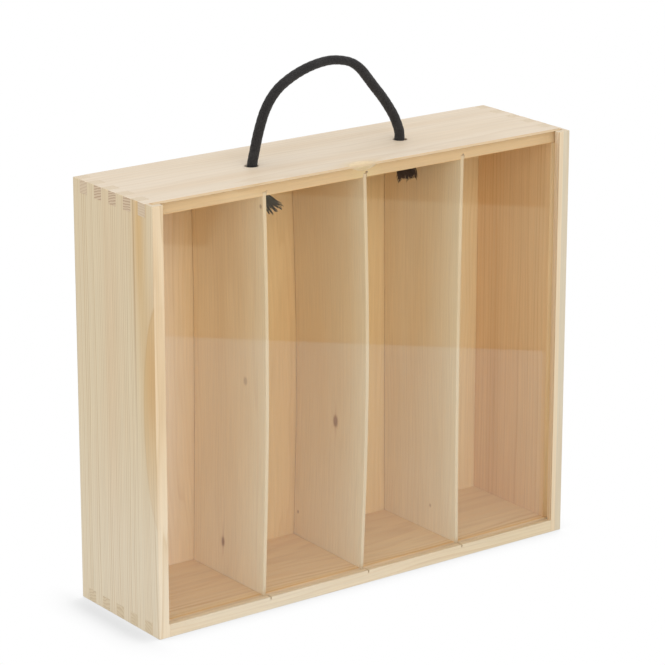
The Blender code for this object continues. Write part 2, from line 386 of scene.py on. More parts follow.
@dataclass(frozen=True)
class PineFinish:
    """Bare planed pine, with rings about a pith line that runs beside the board.

    pith is the pith's place across the face and through the board. sway is how far the rings
    wander along the board, and jitter how uneven they are. inside is a painted shade that
    darkens and warms the faces that look into the case, and inside_contrast strengthens the
    rings there. heart is the colour in the middle of a knot. The stops say how late the wood
    is over the width of one ring.
    """

    name: str
    grain: Grain
    pale: Tone
    ring: Tone
    warm: Tone
    pith: Flat
    spacing: float = 2.0 * MM
    sway: float = 2.0 * MM
    contrast: float = 0.35
    warmth: float = 0.35
    knots: tuple[Knot, ...] = ()
    patches: tuple[Patch, ...] = ()
    inside: Tone | None = None
    inside_contrast: float = 1.0
    jitter: float = 3.2
    face_is_y: bool = False
    heart: Tone = Tone(120, 66, 40)
    face_stops: tuple[Flat, ...] = (
        (0.0, 0.35), (0.08, 0.0), (0.5, 0.12), (0.84, 0.75), (0.93, 1.0), (1.0, 0.35),
    )
    end_stops: tuple[Flat, ...] = (
        (0.0, 0.4), (0.12, 0.0), (0.5, 0.15), (0.8, 0.8), (0.92, 1.0), (1.0, 0.4),
    )

    def spot(self, graph: ShaderGraph) -> Spot:
        """A point's place across, through and along the board.

        Args:
            graph: The node tree to add to.

        Returns:
            The place's sockets.
        """
        x, y, z = (graph.math("MULTIPLY", part, 1 / MM) for part in graph.split())
        if self.grain is Grain.ACROSS:
            return Spot(y, z, x)
        return Spot(x, y, z) if self.face_is_y else Spot(y, x, z)

    @staticmethod
    def depth(graph: ShaderGraph) -> Socket:
        """1 on the faces that look into the case, where the painted inside shade goes, and 0 on
        the outer ones.

        Args:
            graph: The node tree to add to.

        Returns:
            The value's socket.
        """
        x, y, z = graph.split()
        side = Case.width / 2 - Case.board + 2.4 * MM
        foot, head = Case.board - 0.4 * MM, Case.height - Case.board + 0.8 * MM
        lip_back = Case.lip - Case.depth / 2
        aside = graph.math("SUBTRACT", side, graph.math("ABSOLUTE", x))
        above = graph.math("SUBTRACT", z, foot)
        below = graph.math("SUBTRACT", head, z)
        behind = graph.math("ADD", y, Case.depth / 2 - 0.8 * MM)
        least = graph.math("MINIMUM", aside, graph.math("MINIMUM", above, below))
        within = graph.remap(graph.math("MINIMUM", least, behind), 0.0, 0.5 * MM, 0.0, 1.0)
        # The lips get only part of the painted inside shade.
        past_lip = graph.remap(y, lip_back, lip_back + 0.4 * MM, 0.35, 1.0)
        return graph.math("MULTIPLY", within, past_lip)

    def ring_radius(self, graph: ShaderGraph, spot: Spot) -> Socket:
        """The distance from the pith, bent by the sway and by every knot.

        Args:
            graph: The node tree to add to.
            spot: The place on the board.

        Returns:
            The distance's socket, in millimetres.
        """
        drift = graph.math("SUBTRACT", graph.streaks(spot, (0.012, 0.012, 0.0065), 1.5), 0.5)
        jitter = graph.math("SUBTRACT", graph.streaks(spot, (0.11, 0.11, 0.004), 2.0), 0.5)
        far = graph.math("SUBTRACT", spot.across, self.pith[0] / MM)
        deep = graph.math("SUBTRACT", spot.through, self.pith[1] / MM)
        radius = graph.math("SQRT", graph.squares(far, deep))
        radius = graph.math("MULTIPLY_ADD", drift, 4 * self.sway / MM, radius)
        radius = graph.math("MULTIPLY_ADD", jitter, self.jitter * self.spacing / MM, radius)
        for knot in self.knots:
            near = self.nearness(graph, knot, spot, 2.0)
            radius = graph.math("MULTIPLY_ADD", near, knot.bulge / MM, radius)
        return radius

    @staticmethod
    def nearness(graph: ShaderGraph, oval: Knot | Patch, spot: Spot, spread: float) -> Socket:
        """How near a point is to a knot or patch, from 0 far off to 1 at its middle.

        Args:
            graph: The node tree to add to.
            oval: The knot or patch.
            spot: The place on the board.
            spread: How many times the oval's own size it reaches.

        Returns:
            The value's socket.
        """
        aside = graph.math("SUBTRACT", spot.across, oval.across / MM)
        aside = graph.math("DIVIDE", aside, spread * oval.half_across / MM)
        up = graph.math("SUBTRACT", spot.along, oval.along / MM)
        up = graph.math("DIVIDE", up, spread * oval.half_along / MM)
        return graph.math("EXPONENT", graph.math("MULTIPLY", graph.squares(aside, up), -1.0))

    def turns(self, graph: ShaderGraph, spot: Spot) -> Socket:
        """The socket for how many rings lie between the pith and a place."""
        return graph.math("DIVIDE", self.ring_radius(graph, spot), self.spacing / MM)

    def late_wood(self, graph: ShaderGraph, spot: Spot) -> Socket:
        """How strongly the late wood shows on a face along the grain, ring by ring.

        Args:
            graph: The node tree to add to.
            spot: The place on the board.

        Returns:
            The value's socket.
        """
        turns = self.turns(graph, spot)
        late = graph.ramp(graph.math("FRACT", turns), self.face_stops)
        lot = graph.node("ShaderNodeTexWhiteNoise", noise_dimensions="1D")
        graph.feed(lot.inputs["W"], graph.math("FLOOR", turns))
        strength = graph.remap(lot.outputs[0], 0.0, 1.0, 0.3, 1.0)
        late = graph.math("MULTIPLY", late, graph.math("MULTIPLY", strength, self.contrast))
        if self.inside:
            stronger = graph.remap(self.depth(graph), 0.0, 1.0, 1.0, self.inside_contrast)
            late = graph.math("MULTIPLY", late, stronger)
        return late

    def lay_patch(self, graph: ShaderGraph, spot: Spot, patch: Patch, colour: Hue) -> Socket:
        """Lays a patch over a colour, with a thin line round it where it is crisp.

        Args:
            graph: The node tree to add to.
            spot: The place on the board.
            patch: The patch.
            colour: The colour under it.

        Returns:
            The new colour's socket.
        """
        near = self.nearness(graph, patch, spot, 1.0)
        if patch.crisp:
            rim = graph.math("ABSOLUTE", graph.math("SUBTRACT", near, 0.37))
            rim = graph.remap(rim, 0.0, 0.035, 0.8 * patch.share, 0.0)
            near = graph.remap(near, 0.35, 0.39, 0.0, 1.0)
        if patch.beyond is not None:
            level = patch.beyond / MM
            past = graph.remap(spot.through, level, level + 0.35, 0.0, 1.0)
            near = graph.math("MULTIPLY", near, past)
        share = graph.math("MULTIPLY", near, patch.share)
        colour = graph.mix(share, colour, patch.tone.linear())
        return graph.mix(rim, colour, self.ring.linear()) if patch.crisp else colour

    def lay_knot(self, graph: ShaderGraph, spot: Spot, knot: Knot, colour: Hue) -> Socket:
        """Lays a dark knot and its halo over a colour.

        Args:
            graph: The node tree to add to.
            spot: The place on the board.
            knot: The knot.
            colour: The colour under it.

        Returns:
            The new colour's socket.
        """
        near = self.nearness(graph, knot, spot, 1.0)
        ring = graph.remap(near, 0.12, 0.62, 0.0, knot.dark)
        colour = graph.mix(ring, colour, self.heart.linear())
        halo = graph.remap(near, 0.003, 0.3, 0.0, 0.45 * knot.dark)
        return graph.mix(halo, colour, self.ring.linear())

    def build(self) -> bpy.types.Material:
        """Makes the finish for faces along the grain.

        Returns:
            The material.
        """
        graph = ShaderGraph(self.name)
        spot = self.spot(graph)
        late = self.late_wood(graph, spot)
        fibre = graph.streaks(spot, (1.5, 1.5, 0.03), 3.0)
        cloud = graph.streaks(spot, (0.045, 0.045, 0.009), 2.0)
        warmer = graph.remap(cloud, 0.35, 0.7, 0.0, self.warmth)
        colour = graph.mix(warmer, self.pale.linear(), self.warm.linear())
        for patch in self.patches:
            colour = self.lay_patch(graph, spot, patch, colour)
        colour = graph.mix(late, colour, self.ring.linear())
        colour = graph.shade(colour, graph.remap(fibre, 0.25, 0.75, 0.955, 1.04))
        # Painted shade: the inside tone darkens and warms the faces inside the case.
        if self.inside:
            colour = graph.mix(self.depth(graph), colour, self.inside.linear(), "MULTIPLY")
        for knot in self.knots:
            if knot.dark > 0:
                colour = self.lay_knot(graph, spot, knot, colour)
        graph.dress(
            {
                "Base Color": colour,
                "Roughness": graph.remap(fibre, 0.2, 0.8, 0.52, 0.66),
                "Specular IOR Level": 0.3,
            }
        )
        height = graph.math("MULTIPLY_ADD", late, 0.6, graph.math("MULTIPLY", fibre, 0.4))
        graph.bump(height, 0.00012, 0.5)
        return graph.material

    def build_ends(
        self, pale: Tone, ring: Tone, contrast: float, rim_share: float = 1.0
    ) -> bpy.types.Material:
        """Makes the finish for faces across the grain, where the same rings show as arcs.

        Args:
            pale: The colour between the rings.
            ring: The colour of the rings.
            contrast: How strongly the rings show.
            rim_share: The share of that contrast that is left near the board's long edges.

        Returns:
            The material.
        """
        graph = ShaderGraph(f"{self.name}_end_grain")
        spot = self.spot(graph)
        late = graph.ramp(graph.math("FRACT", self.turns(graph, spot)), self.end_stops)
        pores = graph.streaks(spot, (5.0, 5.0, 5.0), 2.0)
        aside = graph.math("ABSOLUTE", spot.across)
        level = graph.remap(aside, 22.0, 25.0, contrast, contrast * rim_share)
        colour = graph.mix(graph.math("MULTIPLY", late, level), pale.linear(), ring.linear())
        graph.dress(
            {
                "Base Color": graph.shade(colour, graph.remap(pores, 0.3, 0.7, 0.93, 1.04)),
                "Roughness": graph.remap(pores, 0.2, 0.8, 0.65, 0.85),
                "Specular IOR Level": 0.2,
            }
        )
        graph.bump(pores, 0.00015, 0.5)
        return graph.material


@dataclass(frozen=True)
class AcrylicFinish:
    """Clear cast acrylic with polished faces and a faint rub of handling."""

    name: str = "clear_acrylic_sheet"
    tint: Tone = Tone(253, 254, 254)
    through: Tone = Tone(251, 252, 252)

    def build(self) -> bpy.types.Material:
        """Makes the finish.

        Returns:
            The material.
        """
        graph = ShaderGraph(self.name)
        rub = graph.streaks(graph.split(), (9.0, 9.0, 40.0), 4.0)
        graph.dress(
            {
                "Transmission Weight": 1.0,
                "IOR": ACRYLIC_IOR,
                "Roughness": graph.remap(rub, 0.45, 0.8, 0.0, 0.03),
                "Base Color": self.tint.linear(),
            }
        )
        path = graph.node("ShaderNodeLightPath")
        lit = graph.math("MAXIMUM", path.outputs["Is Shadow Ray"], path.outputs["Is Diffuse Ray"])
        through = graph.node("ShaderNodeBsdfTransparent")
        through.inputs["Color"].default_value = self.through.linear()
        joined = graph.blend(lit, graph.shader.outputs[0], through.outputs[0])
        graph.feed(graph.output.inputs["Surface"], joined)
        return graph.material


@dataclass(frozen=True)
class SawnAcrylicFinish:
    """The lid's sawn and scraped edges, which are satin, with the pine that shows through them
    painted on as a reflection.
    """

    name: str = "sawn_acrylic_edge_painted_pine"
    # Both tones are a painted reflection of the pine round the edges.
    tone: Tone = Tone(220, 186, 136)
    scraped: Tone = Tone(229, 198, 150)

    def build(self) -> bpy.types.Material:
        """Makes the finish.

        Returns:
            The material.
        """
        graph = ShaderGraph(self.name)
        scrape = graph.noise(graph.here(), 3.0, scale=700.0)
        share = graph.remap(scrape, 0.3, 0.7, 0.0, 1.0)
        graph.dress(
            {
                "Base Color": graph.mix(share, self.tone.linear(), self.scraped.linear()),
                "Roughness": graph.remap(scrape, 0.2, 0.8, 0.3, 0.5),
                "IOR": ACRYLIC_IOR,
            }
        )
        graph.bump(scrape, 0.00008, 0.4)
        return graph.material


@dataclass(frozen=True)
class CordFinish:
    """Matt black cotton, with the thread's own lighter crowns and a little lint."""

    name: str = "black_cotton"
    deep: Tone = Tone(33, 31, 31)
    crown: Tone = Tone(68, 66, 65)

    def build(self) -> bpy.types.Material:
        """Makes the finish.

        Returns:
            The material.
        """
        graph = ShaderGraph(self.name)
        thread = graph.noise(graph.here(), 3.0, scale=1600.0)
        worn = graph.noise(graph.here(), 2.0, scale=90.0)
        share = graph.math("MULTIPLY", graph.remap(thread, 0.3, 0.75, 0.0, 1.0), 0.6)
        share = graph.math("ADD", graph.remap(worn, 0.4, 0.8, 0.0, 0.3), share)
        graph.dress(
            {
                "Base Color": graph.mix(share, self.deep.linear(), self.crown.linear()),
                "Roughness": 0.9,
                "Specular IOR Level": 0.15,
                "Sheen Weight": 0.15,
                "Sheen Roughness": 0.5,
            }
        )
        graph.bump(thread, 0.00015, 0.6)
        return graph.material


class Joinery:
    """Mesh work that the pieces share.

    near is how close a point has to be to a plane to count as on it, and sharp_turn the
    least turn of a sharp edge.
    """

    near = 1e-5
    sharp_turn = math.radians(60)

    @staticmethod
    def keep(name: str, work: bmesh.types.BMesh) -> bpy.types.Object:
        """Turns finished mesh work into an object at the origin, and frees the work.

        Args:
            name: The object's name.
            work: The mesh work.

        Returns:
            The new object.
        """
        mesh = bpy.data.meshes.new(name)
        work.to_mesh(mesh)
        work.free()
        thing = bpy.data.objects.new(name, mesh)
        bpy.context.scene.collection.objects.link(thing)
        return thing

    @staticmethod
    @contextmanager
    def editing(target: bpy.types.Object) -> Iterator[bmesh.types.BMesh]:
        """Opens a piece's mesh for work, and writes it back afterwards.

        Args:
            target: The piece.

        Yields:
            The mesh work.
        """
        work = bmesh.new()
        work.from_mesh(target.data)
        yield work
        work.to_mesh(target.data)
        work.free()

    @staticmethod
    def clad(target: bpy.types.Object, *finishes: bpy.types.Material) -> None:
        """Gives a piece its finishes, in the order of their numbers."""
        for finish in finishes:
            target.data.materials.append(finish)

    @classmethod
    def prism(
        cls, name: str, outline: list[Flat], axis: int, low: float, high: float
    ) -> bpy.types.Object:
        """A closed solid, an outline across an axis swept along it.

        Args:
            name: The object's name.
            outline: Points in the two other coordinates, in X, Y, Z order.
            axis: The number of the axis that the outline is swept along.
            low: Where the sweep starts.
            high: Where the sweep ends.

        Returns:
            The new object.
        """
        work = bmesh.new()
        corners = []
        for first, second in outline:
            place = [first, second]
            place.insert(axis, low)
            corners.append(work.verts.new(place))
        grown = bmesh.ops.extrude_face_region(work, geom=[work.faces.new(corners)])
        sweep = [0.0, 0.0, 0.0]
        sweep[axis] = high - low
        moved = [part for part in grown["geom"] if isinstance(part, bmesh.types.BMVert)]
        bmesh.ops.translate(work, verts=moved, vec=sweep)
        bmesh.ops.recalc_face_normals(work, faces=work.faces)
        return cls.keep(name, work)

    @staticmethod
    def loft(work: bmesh.types.BMesh, rings: list[list[bmesh.types.BMVert]]) -> None:
        """Joins rings of corners into one closed skin.

        Args:
            work: The mesh that the rings are in.
            rings: The rings in order, all with the same number of corners.
        """
        sides = len(rings[0])
        for lower, upper in zip(rings, rings[1:]):
            for count in range(sides):
                after = (count + 1) % sides
                work.faces.new([lower[count], lower[after], upper[after], upper[count]])
        work.faces.new(rings[0][::-1])
        work.faces.new(rings[-1])

    @classmethod
    def block(cls, low: Point, high: Point, name: str = "cutter") -> bpy.types.Object:
        """A cuboid.

        Args:
            low: Its corner with the lowest coordinates.
            high: Its corner with the highest coordinates.
            name: The object's name.

        Returns:
            The new object.
        """
        outline = [(low[0], low[1]), (high[0], low[1]), (high[0], high[1]), (low[0], high[1])]
        return cls.prism(name, outline, 2, low[2], high[2])

    @classmethod
    def drill(cls, centre: Flat, radius: float, low: float, high: float) -> bpy.types.Object:
        """An upright round bar, for a cutter.

        Args:
            centre: Where its middle is, seen from above.
            radius: Its radius.
            low: The level of its foot.
            high: The level of its top.

        Returns:
            The new object.
        """
        turns = np.linspace(0, 2 * math.pi, 64, endpoint=False)
        outline = [
            (centre[0] + radius * math.cos(turn), centre[1] + radius * math.sin(turn))
            for turn in turns
        ]
        return cls.prism("cutter", outline, 2, low, high)

    @classmethod
    def ball(cls, centre: Point, radius: float) -> bpy.types.Object:
        """A fine sphere, for a cutter.

        Args:
            centre: Its middle.
            radius: Its radius.

        Returns:
            The new object.
        """
        work = bmesh.new()
        bmesh.ops.create_uvsphere(work, u_segments=256, v_segments=128, radius=radius)
        bmesh.ops.translate(work, verts=work.verts, vec=centre)
        return cls.keep("cutter", work)

    @staticmethod
    def cut(target: bpy.types.Object, tools: list[bpy.types.Object]) -> None:
        """Cuts the tools out of the target for good, and clears them away.

        Args:
            target: The piece that is cut.
            tools: The cutters.
        """
        for tool in tools:
            step = target.modifiers.new("cut", "BOOLEAN")
            step.operation = "DIFFERENCE"
            step.solver = "EXACT"
            step.object = tool
        graph = bpy.context.evaluated_depsgraph_get()
        result = bpy.data.meshes.new_from_object(target.evaluated_get(graph))
        target.modifiers.clear()
        target.data = result
        for tool in tools:
            bpy.data.objects.remove(tool, do_unlink=True)

    @classmethod
    def ease(
        cls, target: bpy.types.Object, outer: Callable[[Vector], bool], wide: float, narrow: float
    ) -> None:
        """Rounds the outer arrises of a piece, and breaks its other sharp edges a little.

        Args:
            target: The piece.
            outer: A test that is true for the middle of an outer arris.
            wide: How far the outer arrises are rounded.
            narrow: How far every other sharp edge is broken.
        """

        def sharp(edge: bmesh.types.BMEdge) -> bool:
            """True for a convex edge with a sharp turn."""
            return len(edge.link_faces) == 2 and edge.calc_face_angle_signed(0) > cls.sharp_turn

        with cls.editing(target) as work:
            bmesh.ops.remove_doubles(work, verts=work.verts, dist=1e-6)
            bmesh.ops.dissolve_limit(
                work, angle_limit=math.radians(0.3), verts=work.verts, edges=work.edges
            )
            rounded = [
                edge
                for edge in work.edges
                if sharp(edge) and outer((edge.verts[0].co + edge.verts[1].co) / 2)
            ]
            bmesh.ops.bevel(
                work, geom=rounded, offset=wide, segments=3, profile=0.5, affect="EDGES",
                clamp_overlap=True,
            )
            broken = [edge for edge in work.edges if sharp(edge)]
            bmesh.ops.bevel(
                work, geom=broken, offset=narrow, segments=1, profile=0.5, affect="EDGES",
                clamp_overlap=True,
            )

    @classmethod
    def settle(cls, target: bpy.types.Object, grain: Grain | None) -> None:
        """Shades flat faces flat and the rest smooth, and gives end grain the second finish.

        Args:
            target: The piece.
            grain: The axis that its grain runs along, or None where it has one finish.
        """
        with cls.editing(target) as work:
            for face in work.faces:
                face.smooth = max(abs(part) for part in face.normal) <= 0.9999
                if grain:
                    face.material_index = 1 if abs(face.normal[grain.value]) > 0.75 else 0
            for edge in work.edges:
                if any(not face.smooth for face in edge.link_faces):
                    edge.smooth = False


@dataclass(frozen=True)
class Warp:
    """How far one upright edge of a divider stands to the right of the divider's place.

    foot and top are the distances at its two ends, and bow is what bending adds half way up.
    """

    foot: float
    top: float
    bow: float

    def at(self, share: float) -> float:
        """The distance at a share of the height, from 0 at the foot to 1 at the top."""
        return self.foot + (self.top - self.foot) * share + self.bow * math.sin(math.pi * share)


@dataclass
class Divider:
    """One thin upright divider, which has bowed and twisted a little."""

    name: str
    place: float
    front_warp: Warp
    rear_warp: Warp
    pale: Tone
    knots: tuple[Knot, ...]
    thickness: float = 0.0024
    front: float = -0.03370
    back: float = 0.0369
    low: float = 0.0056
    high: float = 0.2511
    steps: int = 40
    easing: float = 0.00025

    def lean(self, depth: float, share: float) -> float:
        """How far the divider stands aside of its place.

        Args:
            depth: The place from front to back.
            share: The share of the height, from 0 at the foot to 1 at the top.

        Returns:
            The distance.
        """
        ahead, behind = self.front_warp.at(share), self.rear_warp.at(share)
        return ahead + (behind - ahead) * (depth - self.front) / (self.back - self.front)

    def slot(self, share: float, width: float, start: float, end: float) -> list[Flat]:
        """The outline of a slot that the divider stands in, seen from above.

        Args:
            share: The share of the height that the slot is at.
            width: The slot's width.
            start: Where the slot starts.
            end: Where the slot ends.

        Returns:
            The outline's corners.
        """
        first = self.place + self.lean(start, share)
        last = self.place + self.lean(end, share)
        return [
            (first - width / 2, start), (first + width / 2, start),
            (last + width / 2, end), (last - width / 2, end),
        ]

    def build(self) -> bpy.types.Object:
        """Makes, dresses and places the divider.

        Returns:
            The piece.
        """
        corners = self.section()
        work = bmesh.new()
        rings = []
        for step in range(self.steps + 1):
            share = step / self.steps
            height = self.low + (self.high - self.low) * share
            rings.append(
                [
                    work.verts.new((self.place + x + self.lean(y, share), y, height))
                    for x, y in corners
                ]
            )
        Joinery.loft(work, rings)
        bmesh.ops.recalc_face_normals(work, faces=work.faces)
        for face in work.faces:
            face.smooth = False
            face.material_index = 1 if abs(face.normal.z) > 0.75 else 0
        piece = Joinery.keep(f"{self.name}_slat", work)
        finish = PineFinish(
            f"{self.name}_pine", Grain.UPRIGHT, self.pale, Tone(216, 176, 124),
            Tone(234, 202, 150), pith=(-0.16, self.place + 0.07), spacing=2.4 * MM,
            sway=2.6 * MM, contrast=0.2, warmth=0.4, knots=self.knots,
            patches=(
                # Painted light: these two patches lighten the front part of each face, where light
                # falls in, and its foot, as light bounced off the bottom board would.
                Patch(-0.0345, 0.128, 0.0150, 0.600, 0.55, Tone(252, 238, 206)),
                Patch(0.0, 0.010, 0.0600, 0.060, 0.45, Tone(252, 240, 214)),
                Patch(-0.0345, 0.128, 0.0010, 9.0, 0.8, Tone(222, 194, 156), crisp=True),
                *(
                    Patch(knot.across, knot.along, 0.0006, 0.0085, 0.5, Tone(186, 130, 84))
                    for knot in self.knots
                    if knot.dark > 0.8
                ),
            ),
        )
        Joinery.clad(piece, finish.build(), finish.build_ends(*THIN_ENDS))
        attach(piece, Body.CASE.value)
        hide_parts(self.name)
        return piece

    def section(self) -> list[Flat]:
        """The divider's outline seen from above, with broken corners, about its own middle.

        Returns:
            The outline's corners.
        """
        half, nick = self.thickness / 2, self.easing
        return [
            (-half + nick, self.front), (half - nick, self.front), (half, self.front + nick),
            (half, self.back - nick), (half - nick, self.back), (-half + nick, self.back),
            (-half, self.back - nick), (-half, self.front + nick),
        ]


@dataclass
class Case:
    """The finger-jointed case: two side boards, a top board and a bottom board.

    easing rounds the outer arrises, and nick breaks all the others. overrun is how far the
    cutters stick out of the wood, and slack how much further they go where two cuts meet.
    Each chip has its place and radius. chip_ragged is the range of its corners' reach as a
    share of the radius, and chip_stretch makes it wide and low.
    """

    dividers: tuple[Divider, ...]
    width: float = 0.300
    depth: float = 0.0825
    height: float = 0.2565
    board: float = 0.0078
    fingers: int = 11
    joint_gap: float = 0.00006
    lip: float = 0.0037
    lid_room: float = 0.0036
    groove_depth: float = 0.0055
    setback: float = 0.0075
    notch_width: float = 0.020
    notch_back: float = 0.007
    notch_down: float = 0.0035
    panel: float = 0.004
    rebate: float = 0.004
    slack: float = 0.0001
    dado_depth: float = 0.0025
    dado_height: float = 0.0026
    dado_width: float = 0.0027
    dado_shift: float = 0.0001
    chips: tuple[Flat, ...] = ((-0.0690, 0.0004), (0.0017, 0.0010), (0.0729, 0.0006))
    chip_level: float = 0.2517
    chip_reach: float = 0.0030
    chip_corners: int = 9
    chip_ragged: Flat = (0.70, 1.25)
    chip_stretch: Flat = (1.15, 0.85)
    chip_seed: int = 31
    kerf_width: float = 0.0008
    kerf_depth: float = 0.0017
    left_trim: float = 0.00095
    right_growth: float = 0.0005
    kerfs: tuple[float, ...] = (-0.0717, -0.0002, 0.0711)
    underside_cut: float = 0.00035
    hole_radius: float = 0.00425
    hole_reach: float = 0.0540
    hole_back: float = 0.0015
    easing: float = 0.0005
    nick: float = 0.00012
    side_chamfer: float = 0.0021
    bottom_chamfer: float = 0.0012
    overrun: float = 0.002

    @property
    def front(self) -> float:
        """Where the front face is."""
        return -self.depth / 2

    @property
    def back(self) -> float:
        """Where the back face is."""
        return self.depth / 2

    @property
    def inner(self) -> float:
        """How far out the side boards' inner faces are."""
        return self.width / 2 - self.board

    @property
    def under(self) -> float:
        """The level of the top board's underside."""
        return self.height - self.board

    @property
    def over(self) -> float:
        """A level above the whole case, where upright cutters end."""
        return self.height + self.overrun

    @property
    def behind(self) -> float:
        """A place behind the whole case, where cutters end."""
        return self.back + self.overrun

    @property
    def lip_back(self) -> float:
        """Where the lips end and the lid's groove starts."""
        return self.front + self.lip

    @property
    def groove_back(self) -> float:
        """Where the lid's groove ends."""
        return self.lip_back + self.lid_room

    @property
    def ledge(self) -> float:
        """Where the top board's front edge is, behind the lid."""
        return self.front + self.setback

    @property
    def rebate_front(self) -> float:
        """Where the back panel's rebate starts."""
        return self.back - self.panel - self.slack

    def comb(self, first: int, own: int, outside: float, inside: float) -> list[Flat]:
        """One comb edge, as points along and across it.

        Args:
            first: The number of the finger that it starts with.
            own: The parity of the fingers that reach outside.
            outside: How far the comb's own fingers reach.
            inside: How deep the gaps between them are.

        Returns:
            The edge's points, from the front to the back.
        """
        pitch = (self.back - self.ledge) / (self.fingers - 1)
        edges = [self.front] + [self.ledge + pitch * count for count in range(self.fingers)]
        points = []
        for count in range(first, self.fingers):
            mine = count % 2 == own
            inward = self.joint_gap / 2 if mine else -self.joint_gap / 2
            low = edges[count] + (inward if count > 0 else 0)
            high = edges[count + 1] - (inward if count < self.fingers - 1 else 0)
            across = outside if mine else inside
            points += [(low, across), (high, across)]
        return points

    def is_outer(self, place: Vector) -> bool:
        """Finds the outer arrises of the whole case, and of its lips and board fronts.

        Args:
            place: A point on a board.

        Returns:
            True where the point is on such an arris.
        """
        near = Joinery.near
        planes = [
            abs(abs(place.x) - self.width / 2) < near,
            abs(place.y - self.front) < near or abs(place.y - self.back) < near,
            abs(place.z) < near or abs(place.z - self.height) < near,
        ]
        return sum(planes) >= 2

    def side_board(self, name: str, side: int) -> bpy.types.Object:
        """A side board with its combs, lid groove and rebate.

        Args:
            name: The piece's name.
            side: -1 for the left board and 1 for the right.

        Returns:
            The piece.
        """
        low_edge = self.comb(0, 0, 0, self.board + self.joint_gap)
        high_edge = self.comb(0, 0, self.height, self.under - self.joint_gap)
        grown = self.inner - (self.right_growth if side > 0 else 0)
        reach = sorted((side * self.width / 2, side * grown))
        board = Joinery.prism(name, low_edge + high_edge[::-1], 0, reach[0], reach[1])
        open_end = side * (self.inner - self.overrun)
        groove = sorted((side * (self.inner + self.groove_depth), open_end))
        rebate = sorted((side * (self.inner + self.rebate), open_end))
        beyond = self.side_chamfer + MM
        arris = [
            (side * (self.inner + beyond), self.groove_back - MM),
            (side * (self.inner - MM), self.groove_back + beyond),
            (side * (self.inner - MM), self.groove_back - MM),
        ]
        tools = self.lip_tools(side)
        tools += [
            Joinery.block(
                (groove[0], self.lip_back, -self.overrun), (groove[1], self.groove_back, self.over)
            ),
            Joinery.prism("cutter", arris, 2, self.board, self.under),
            Joinery.block(
                (groove[0], self.groove_back - self.slack, self.under - self.joint_gap),
                (groove[1], self.ledge, self.over),
            ),
            Joinery.block(
                (rebate[0], self.rebate_front, self.board - self.rebate),
                (rebate[1], self.behind, self.under + self.rebate),
            ),
        ]
        Joinery.cut(board, tools)
        Joinery.ease(board, self.is_outer, self.easing, self.nick)
        Joinery.settle(board, Grain.UPRIGHT)
        return board

    def lip_tools(self, side: int) -> list[bpy.types.Object]:
        """The cutters that leave the left lip a little narrow, and the right one a little wide.

        Args:
            side: -1 for the left board and 1 for the right.

        Returns:
            The cutters.
        """
        ahead = self.front - self.overrun
        if side < 0:
            return [
                Joinery.block(
                    (-self.inner - self.left_trim, ahead, self.board),
                    (-self.inner + self.overrun, self.lip_back, self.over),
                )
            ]
        inward = self.inner - self.overrun
        return [
            Joinery.block(
                (inward, self.lip_back, -self.overrun), (self.inner, self.behind, self.over)
            ),
            Joinery.block((inward, ahead, -self.overrun), (self.inner, self.lip_back, self.board)),
        ]

    def level_board(self, name: str, first: int, low: float, high: float) -> bpy.types.Object:
        """A board with a comb at each end, between the side boards.

        Args:
            name: The piece's name.
            first: The number of the finger that its combs start with.
            low: The level of its underside.
            high: The level of its upper face.

        Returns:
            The board, without its grooves and slots.
        """
        edge = self.comb(first, 1, self.width / 2, self.inner - self.joint_gap)
        right = [(across, along) for along, across in edge]
        left = [(-across, along) for across, along in right]
        return Joinery.prism(name, right + left[::-1], 2, low, high)

    def slot_tools(
        self, share: float, width: float, shift: float, reach: Flat, levels: Flat
    ) -> list[bpy.types.Object]:
        """A cutter for each divider's slot.

        Args:
            share: 0 for the slots at the dividers' feet, and 1 for those at their tops.
            width: The slots' width.
            shift: How far to the right of the divider's middle the slot's middle is.
            reach: Where the slots start and end, from front to back.
            levels: The cutters' lowest and highest level.

        Returns:
            The cutters.
        """
        return [
            Joinery.prism(
                "cutter",
                [(x + shift, y) for x, y in divider.slot(share, width, *reach)],
                2,
                *levels,
            )
            for divider in self.dividers
        ]

    def chip_tools(self) -> list[bpy.types.Object]:
        """A ragged cutter for each torn chip above the dividers' tops.

        Returns:
            The cutters.
        """
        dice = np.random.default_rng(self.chip_seed)
        wide, tall = self.chip_stretch
        tools = []
        for across, radius in self.chips:
            outline = []
            for turn in np.linspace(0, 2 * math.pi, self.chip_corners, endpoint=False):
                reach = radius * dice.uniform(*self.chip_ragged)
                outline.append(
                    (
                        across + wide * reach * math.cos(turn),
                        self.chip_level + tall * reach * math.sin(turn),
                    )
                )
            tools.append(
                Joinery.prism("cutter", outline, 1, self.front, self.ledge + self.chip_reach)
            )
        return tools

    def top_board(self) -> bpy.types.Object:
        """The top board, behind the lid, with cord holes, dadoes and the thumb notch.

        Returns:
            The piece.
        """
        board = self.level_board("top_plank", 1, self.under, self.height)
        half = self.notch_width / 2
        ahead = (half**2 - self.notch_back**2) / (2 * self.notch_back)
        above = (half**2 - self.notch_down**2) / (2 * self.notch_down)
        below = self.under - self.overrun
        tools = [
            Joinery.block(
                (-self.width, self.rebate_front, below),
                (self.width, self.behind, self.under + self.rebate),
            ),
            Joinery.ball(
                (0, self.ledge - ahead, self.height + above),
                math.sqrt(half**2 + ahead**2 + above**2),
            ),
        ]
        for across in (-self.hole_reach, self.hole_reach):
            tools.append(
                Joinery.drill((across, self.hole_back), self.hole_radius, below, self.over)
            )
        tools += self.slot_tools(
            1, self.dado_width, self.dado_shift, (self.front, self.behind),
            (below, self.under + self.dado_height),
        )
        tools += self.chip_tools()
        tools.append(
            Joinery.block(
                (-self.inner, self.front, below),
                (self.inner, self.behind, self.under + self.underside_cut),
            )
        )
        Joinery.cut(board, tools)
        Joinery.ease(
            board,
            lambda place: self.is_outer(place) or self.on_ledge(place),
            self.easing,
            self.nick,
        )
        Joinery.settle(board, Grain.ACROSS)
        return board

